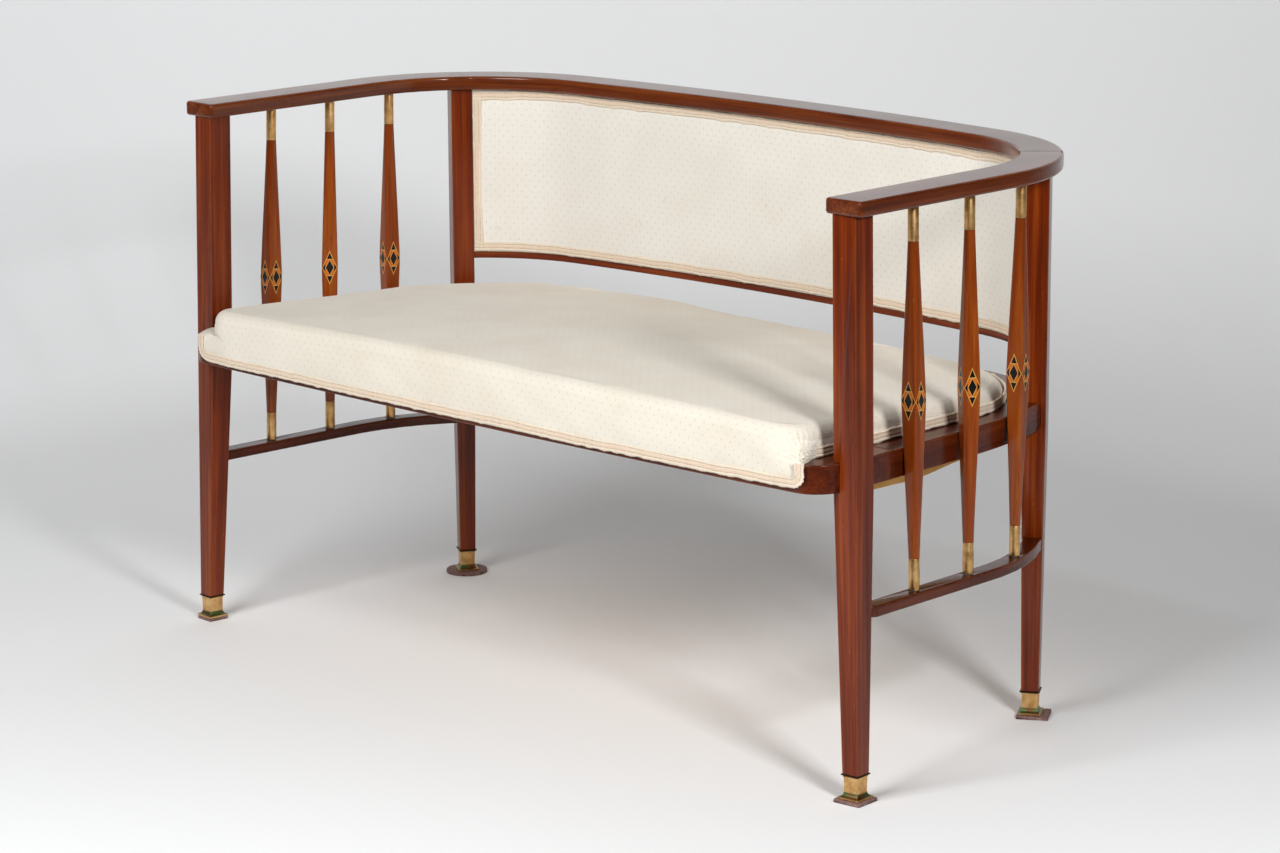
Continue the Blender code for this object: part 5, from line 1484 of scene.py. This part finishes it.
def braid_heights(distance):
    """Height of the section's columns at each place: cords whose height follows their twist."""
    cords = 0.0
    for middle, wide, high in CORDS:
        cords = cords + high * np.sqrt(np.clip(1 - ((SECTION - middle) / wide) ** 2, 0, 1))
    turned = distance[:, None] + TWIST_SLANT * SECTION
    twist = 0.10 * np.sin(2 * math.pi * turned / TWIST_PITCH)
    return BRAID_THICKNESS * np.clip(0.30 + cords + twist * cords, 0.2, 1.0)


def braid_widths(distance):
    """Sideways places of the columns: loops and fraying move the edges, the middle drifts."""
    loops = np.abs(np.sin(math.pi * distance / LOOP_PITCH))[:, None] ** 0.6
    frayed = [ripple(distance, 0 * distance + k, 60 + k, 10, 0.004, 0.03) for k in (1, 2)]
    frayed = np.where(SECTION > 0, frayed[0][:, None], frayed[1][:, None])
    at_edge = np.sign(SECTION) * (np.abs(SECTION) > 0.85)
    widen = (LOOP_DEPTH * (loops - 0.6) + FRAY_DEPTH * frayed) * at_edge
    drift = DRIFT_DEPTH * uneven_along(distance, 71, 8, 0.02, 0.12)[:, None]
    return SECTION * half_band + widen + drift * (np.abs(SECTION) < 0.9)


def braid(name, points, across, facing, stands_for=None):
    """Resamples the line, then lays out the band: rows along it, columns round its section."""
    lengths = line_lengths(points)
    distance = np.linspace(0.0, lengths[-1], int(lengths[-1] / BRAID_STEP))
    line, across, facing = (at_lengths(v, lengths, distance) for v in (points, across, facing))
    line, across, facing = line[:, None], unit(across)[:, None], unit(facing)[:, None]
    sideways, height = braid_widths(distance)[..., None], braid_heights(distance)[..., None]
    underside = np.array([0.94, -0.94])[:, None] * half_band
    rings = np.hstack([line + across * sideways + facing * height, line + across * underside])
    band = np.concatenate([SECTION, [1.0, -1.0, -1.0]])
    uv = grid_corners(np.stack(np.meshgrid(distance, band, indexing="ij"), axis=-1))
    return make_tube(
        name, rings, cream_braid, "cream_braid", stands_for=stands_for, uv=uv, uv_name="band"
    )


print("braid", BRAID_WIDTH, "m wide with", len(SECTION), "columns across")

# %% Braid on the back panel
WANDER = 0.0012
OFF_PANEL, EDGE_MARGIN, TOP_MARGIN = 0.0003, 0.0008, 0.002


def panel_braid(name, share, z, up, stands_for=None):
    """A strip on the panel's front face: level for an up of 0, else upright."""
    points, distance = panel_point(share, np.full(len(share), -PANEL_FRONT - OFF_PANEL), z)
    _, outward = rail_line(distance)
    facing = np.column_stack([-outward, np.zeros(len(share))])
    along = np.column_stack([outward[:, 1], -outward[:, 0], np.zeros(len(share))])
    across = np.broadcast_to([0.0, 0.0, 1.0], facing.shape) if not up else along * up
    return braid(name, points, across, facing, stands_for)


line_share = np.linspace(-0.999, 0.999, 300)
wander = WANDER * uneven_along(line_share, 31, 9, 0.04, 0.5)
top_line = PANEL_HIGH - half_band - TOP_MARGIN + wander
bottom_line = PANEL_LOW + half_band + EDGE_MARGIN + 0.6 * wander[::-1]
panel_braid("braid_back_top", line_share, top_line, 0, "back_braid")
panel_braid("braid_back_bottom", line_share, bottom_line, 0)
upright = np.linspace(PANEL_LOW + BRAID_WIDTH * 0.9, PANEL_HIGH - BRAID_WIDTH * 0.9, 60)
edge_share = 1 - (half_band + EDGE_MARGIN) / PANEL_ENDS.mean()
panel_braid("braid_back_left", np.full(len(upright), -edge_share), upright, -1)
panel_braid("braid_back_right", np.full(len(upright), edge_share), upright, 1)
print("braid on the panel", round(2 * PANEL_ENDS.mean(), 3), "m wide")

# %% Braid round the seat
HEM_WAVE, FOOT_WAVE = 0.0011, 0.0009
OFF_CLOTH, OFF_FRAME = 0.0004, 0.0012
LEAN = 0.12
RUN_ON_TURN, RUN_ON_WIDER, RUN_ON_SHIFT = math.radians(48.0), 0.0032, 0.006


def along_hem(side):
    """The braid's whole run below one half of the front, from the middle out round the corner."""
    x = np.linspace(0.0, CUSHION_HALF_WIDTH - CUSHION_CORNER, 120)[:-1]
    middle = np.column_stack([side * x, seat_front_y(x) - CUSHION_COVER])
    return np.concatenate([middle, hem_line(side, last=math.radians(75.0))])


def climbing_end(side):
    """One turned-up end as distances along the hem and heights, from left to right."""
    end, radius = climb_place(side), BEND_RADIUS[side]
    turn = np.linspace(0.0, math.pi / 2, 16)
    climb = np.linspace(HEM_MIDDLE + radius, SEAT_TOP + CLIMB_TO[side], 12)[1:]
    along = np.concatenate([end - radius * (1 - np.sin(turn)), np.full(len(climb), end)])
    height = np.concatenate([HEM_MIDDLE + radius * (1 - np.cos(turn)), climb])
    return np.column_stack([side * along, height])[::side]


def seat_front_braid():
    """Along the hem, with both ends turned up round a quarter circle at the frame's corners.

    The path is drawn on the unrolled wall, as distances along the hem and heights, and then laid
    on the wall: along becomes the wall's own direction and up stays up.
    """
    right, left = along_hem(1), along_hem(-1)
    wall = np.concatenate([left[:0:-1], right])
    lengths = line_lengths(wall) - line_lengths(left)[-1]
    path = {side: climbing_end(side) for side in (1, -1)}
    run = np.linspace(path[-1][-1, 0], path[1][0, 0], 420)[1:-1]
    level = np.column_stack([run, np.full(len(run), HEM_MIDDLE)])
    along, height = np.concatenate([path[-1], level, path[1]]).T
    height = height + HEM_WAVE * uneven_along(along, 41, 9, 0.05, 0.5)
    flat = at_lengths(wall, lengths, along)
    tangent = at_lengths(wall, lengths, along + 0.001) - at_lengths(wall, lengths, along - 0.001)
    tangent = unit(tangent)
    out = np.column_stack([tangent[:, 1], -tangent[:, 0], 0 * along])
    step = unit(np.gradient(np.column_stack([along, height]), axis=0))
    across = np.column_stack([-step[:, 1:] * tangent, step[:, 0]])
    points = np.column_stack([flat, height]) + out * OFF_CLOTH
    return braid("braid_seat_front", points, across, out, "seat_braid_front")


def seat_around_braid():
    """On the frame, round the foot of the sides and the back, leaning on the cushion.

    At the right front corner it runs on along the pad's foot to the pleats.
    """
    distance = np.linspace(-FRONT_LEG_AT, FRONT_LEG_AT, 600)
    flat = beside_rail(distance, -cushion_inset(distance) + BULGE + OFF_FRAME)
    _, outward = rail_line(distance)
    turn = np.linspace(0.0, RUN_ON_TURN, 14)[1:]
    radius = CUSHION_CORNER + RUN_ON_WIDER
    round_corner = np.column_stack([np.cos(turn), -np.sin(turn)])
    run_on = flat[-1] - [radius, RUN_ON_SHIFT] + round_corner * radius
    flat = np.concatenate([flat, run_on])
    outward = np.concatenate([outward, round_corner])
    wavy = FOOT_WAVE * uneven_along(np.arange(len(flat)) * 0.0035, 43, 9, 0.03, 0.3)
    points = np.column_stack([flat, SEAT_TOP + half_band + OFF_FRAME + wavy])
    across = np.column_stack([-outward * LEAN, np.ones(len(flat))])
    facing = np.column_stack([outward, np.full(len(flat), LEAN)])
    return braid("braid_seat_around", points, across, facing, "seat_braid_around")


seat_front_braid()
seat_around_braid()
print("braid climbs at", [round(climb_place(side), 3) for side in (-1, 1)], "m from the middle")

# %% [markdown]
# ## Below the seat
#
# Each bay of the frame is closed with an ochre canvas that has come to sag with the webbing
# above it, and shows below the rails. The sheet is a thin grid: flat where it is tacked to the
# rails, and a full shallow bag between, which hangs deeper in the right bay.

# %% Canvas, webbing and stuffing
CANVAS_THICKNESS = 0.0010
CANVAS_ROWS, CANVAS_COLUMNS = 60, 70
CANVAS_CREASE = 0.0022
FULL_ACROSS, FULL_DEEP = 7.0, 2.2
CANVAS_SAG = {"left": 0.001, "right": 0.005}


def canvas_outline(packed, x):
    """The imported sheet's first and last y at each x, from twelve slices of its points."""
    low, high = packed[:, 0].min(), packed[:, 0].max()
    slices = np.linspace(low, high, 12)
    width = (high - low) / 11
    near = [packed[np.abs(packed[:, 0] - middle) <= width, 1] for middle in slices]
    first = np.interp(x, slices, [y.min() for y in near])
    return first, np.interp(x, slices, [y.max() for y in near])


def canvas_sheet(word):
    """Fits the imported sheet's outline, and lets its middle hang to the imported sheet's depth."""
    name = f"bottom_canvas_{word}"
    packed = node_points(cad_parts[name].data)
    low, high = packed.min(axis=0), packed.max(axis=0)
    across = np.linspace(0.0, 1.0, CANVAS_COLUMNS)
    deep = np.linspace(0.0, 1.0, CANVAS_ROWS)[:, None]
    x = low[0] + (high[0] - low[0]) * across
    first, last = canvas_outline(packed, x)
    y = first + (last - first) * deep
    x = np.broadcast_to(x, y.shape)
    bag = 1 - np.abs(2 * across - 1) ** FULL_ACROSS
    bag = bag * (1 - np.abs(2 * deep - 1) ** FULL_DEEP)
    top = high[2] - (high[2] - low[2] - CANVAS_THICKNESS + CANVAS_SAG[word]) * bag
    top = top - CANVAS_CREASE * ripple(x, y, 51, 10, 0.05, 0.3) * bag
    upper = np.dstack([x, y, top])
    lower = np.dstack([x, y, top - CANVAS_THICKNESS])
    faces = grid_faces(CANVAS_ROWS, CANVAS_COLUMNS)
    count = CANVAS_ROWS * CANVAS_COLUMNS
    number = np.arange(count).reshape(CANVAS_ROWS, CANVAS_COLUMNS)
    rim = np.concatenate([number[0, :-1], number[:-1, -1], number[-1, :0:-1], number[:0:-1, 0]])
    after = np.roll(rim, -1)
    sides = np.column_stack([rim, after, after + count, rim + count])
    points = np.concatenate([upper.reshape(-1, 3), lower.reshape(-1, 3)])
    shell = [*faces.tolist(), *(faces[:, ::-1] + count).tolist(), *sides.tolist()]
    sheet = make_piece(
        f"canvas_{word}", points, shell, ochre_canvas, "ochre_canvas", stands_for=name, sharp=60.0
    )
    return sheet, (float(high[0] - low[0]), float(high[1] - low[1]))


for word in SIDES:
    sheet, flat_size = canvas_sheet(word)
    dressed(f"seat_webbing_{word}", jute)
    dressed(f"seat_stuffing_{word}", hair)
    print(word, "canvas laid flat", [round(side, 4) for side in flat_size])

# %% [markdown]
# ## Floor, light and camera
#
# A pale floor runs up into a pale wall, as in a photographer's studio, and turns to dark studio
# floor a little in front of the settee. A large soft light stands left of the camera and a
# smaller one right of it, so both shadows of the seat meet behind it. A third, low one brightens
# the wall. The paper shows from its front only, so that the settee can be looked at from behind
# too. The camera's place and lens were worked out from the settee's own symmetry.

# %% Studio floor
FLOOR_HALF_WIDTH = 7.0
FLOOR_FRONT = -5.0
SWEEP_START = 0.80
SWEEP_RADIUS = 1.20
WALL_HEIGHT = 4.0
VIEW_AZIMUTH = math.radians(44.476)
view_right = np.array([math.cos(VIEW_AZIMUTH), math.sin(VIEW_AZIMUTH)])
view_away = np.array([-math.sin(VIEW_AZIMUTH), math.cos(VIEW_AZIMUTH)])


def studio_floor():
    """A level floor, a quarter round and a wall, carried across the view's direction."""
    turn = np.linspace(0.0, math.pi / 2, 24)
    depth = np.concatenate([[FLOOR_FRONT], SWEEP_START + SWEEP_RADIUS * np.sin(turn)])
    height = np.concatenate([[0.0], SWEEP_RADIUS * (1 - np.cos(turn))])
    depth = np.append(depth, SWEEP_START + SWEEP_RADIUS)
    height = np.append(height, WALL_HEIGHT)
    across = np.linspace(-FLOOR_HALF_WIDTH, FLOOR_HALF_WIDTH, 3)
    flat = depth[:, None, None] * view_away + across[None, :, None] * view_right
    up = np.broadcast_to(height[:, None], flat.shape[:2])
    return np.dstack([flat, up]), grid_faces(len(depth), len(across))


PAPER_TONES = ((0.85, 0.86, 0.87, 1.0), (0.88, 0.89, 0.90, 1.0))
DARK_FLOOR = (0.10, 0.10, 0.10, 1.0)
DARK_FROM, DARK_FULL = 1.15, 1.75

paper, paper_tree, paper_shader = start_material("studio_paper", Specular_IOR_Level=0.1)
paper_place = node(paper_tree, "TexCoord").outputs["Object"]
paper_cloud = noise(paper_tree, paper_place, 0.8, 2.0)
paper_colour = ramp(paper_tree, paper_cloud, *zip((0.2, 0.8), PAPER_TONES))
towards = {0: paper_place, 1: (-view_away[0], -view_away[1], 0.0)}
paper_depth = node(paper_tree, "VectorMath", towards, operation="DOT_PRODUCT").outputs["Value"]
paper_end = span(paper_tree, paper_depth, DARK_FROM, DARK_FULL)
paper_colour = mixed(paper_tree, paper_end, paper_colour, DARK_FLOOR)
paper_rough = calc(paper_tree, "MULTIPLY_ADD", paper_cloud, 0.05, 0.9)
finish_material(paper_tree, paper_shader, paper_colour, paper_rough)
paper_rear = node(paper_tree, "NewGeometry").outputs["Backfacing"]
see_through = node(paper_tree, "BsdfTransparent").outputs["BSDF"]
sides = {0: paper_rear, 1: paper_shader.outputs["BSDF"], 2: see_through}
one_sided = node(paper_tree, "MixShader", sides).outputs[0]
paper_tree.links.new(one_sided, paper_tree.nodes["Material Output"].inputs["Surface"])

floor_points, floor_faces = studio_floor()
floor_mesh = bpy.data.meshes.new("studio_floor")
floor_mesh.from_pydata(floor_points.reshape(-1, 3).tolist(), [], floor_faces.tolist())
floor_mesh.shade_smooth()
floor_mesh.materials.append(paper)
floor = bpy.data.objects.new("studio_floor", floor_mesh)
bpy.context.scene.collection.objects.link(floor)
print("studio paper", 2 * FLOOR_HALF_WIDTH, "m wide and", WALL_HEIGHT, "m high")

# %% Lights
AIM = np.array([0.0, 0.0, 0.35])


def around(azimuth, distance, height):
    """A place at a compass direction, a level distance and a height."""
    a = math.radians(azimuth)
    return np.array([distance * math.cos(a), distance * math.sin(a), height])


def soft_light(name, place, aim, size, power):
    """A flat light that stands at a place and looks at another."""
    data = bpy.data.lights.new(name, "AREA")
    data.shape = "RECTANGLE"
    data.size, data.size_y = size
    data.energy = power
    lamp = bpy.data.objects.new(name, data)
    back = (place - aim) / np.linalg.norm(place - aim)
    lamp.location = place
    lamp.rotation_euler = (math.acos(back[2]), 0.0, math.atan2(back[1], back[0]) + math.pi / 2)
    bpy.context.scene.collection.objects.link(lamp)


WORLD_TINT, WORLD_STRENGTH = (1.0, 0.92, 0.84, 1.0), 0.05
soft_light("left_light", around(-84.0, 3.0, 2.35), AIM, (1.6, 1.6), 97.0)
soft_light("right_light", around(-22.0, 3.1, 1.75), AIM, (0.5, 0.5), 59.0)
soft_light("wall_light", around(135.0, 1.0, 2.7), around(135.0, 2.0, 2.3), (3.4, 0.5), 15.0)

world = bpy.context.scene.world or bpy.data.worlds.new("studio")
bpy.context.scene.world = world
world.use_nodes = True
world_light = world.node_tree.nodes["Background"]
world_light.inputs["Color"].default_value = WORLD_TINT
world_light.inputs["Strength"].default_value = WORLD_STRENGTH
print("lights", [light.name for light in bpy.data.lights])

# %% Camera
CAMERA_PLACE = (3.7533, -3.5811 + ORIGIN_Y, 1.5493)
CAMERA_LENS, SENSOR_WIDTH = 113.785, 36.0
CAMERA_PITCH = math.radians(12.7655)
CAMERA_ROLL = math.radians(-0.3106)


def camera_rotation():
    """Columns of the camera's own axes: right, up and back, rolled about the view direction."""
    e, r = CAMERA_PITCH, CAMERA_ROLL
    ahead = np.append(view_away * math.cos(e), -math.sin(e))
    right = np.append(view_right, 0.0)
    up = np.cross(right, ahead)
    own_right = math.cos(r) * right + math.sin(r) * up
    own_up = -math.sin(r) * right + math.cos(r) * up
    return np.column_stack([own_right, own_up, -ahead])


camera_data = bpy.data.cameras.new("camera")
camera_data.lens = CAMERA_LENS
camera_data.sensor_width = SENSOR_WIDTH
camera_data.sensor_fit = "HORIZONTAL"
camera = bpy.data.objects.new("camera", camera_data)
turned = np.eye(4)
turned[:3, :3] = camera_rotation()
turned[:3, 3] = CAMERA_PLACE
camera.matrix_world = turned.T.tolist()
bpy.context.scene.collection.objects.link(camera)
bpy.context.scene.camera = camera
bpy.context.scene.view_settings.view_transform = "Standard"
print("camera at", CAMERA_PLACE, "with a lens of", CAMERA_LENS, "mm")
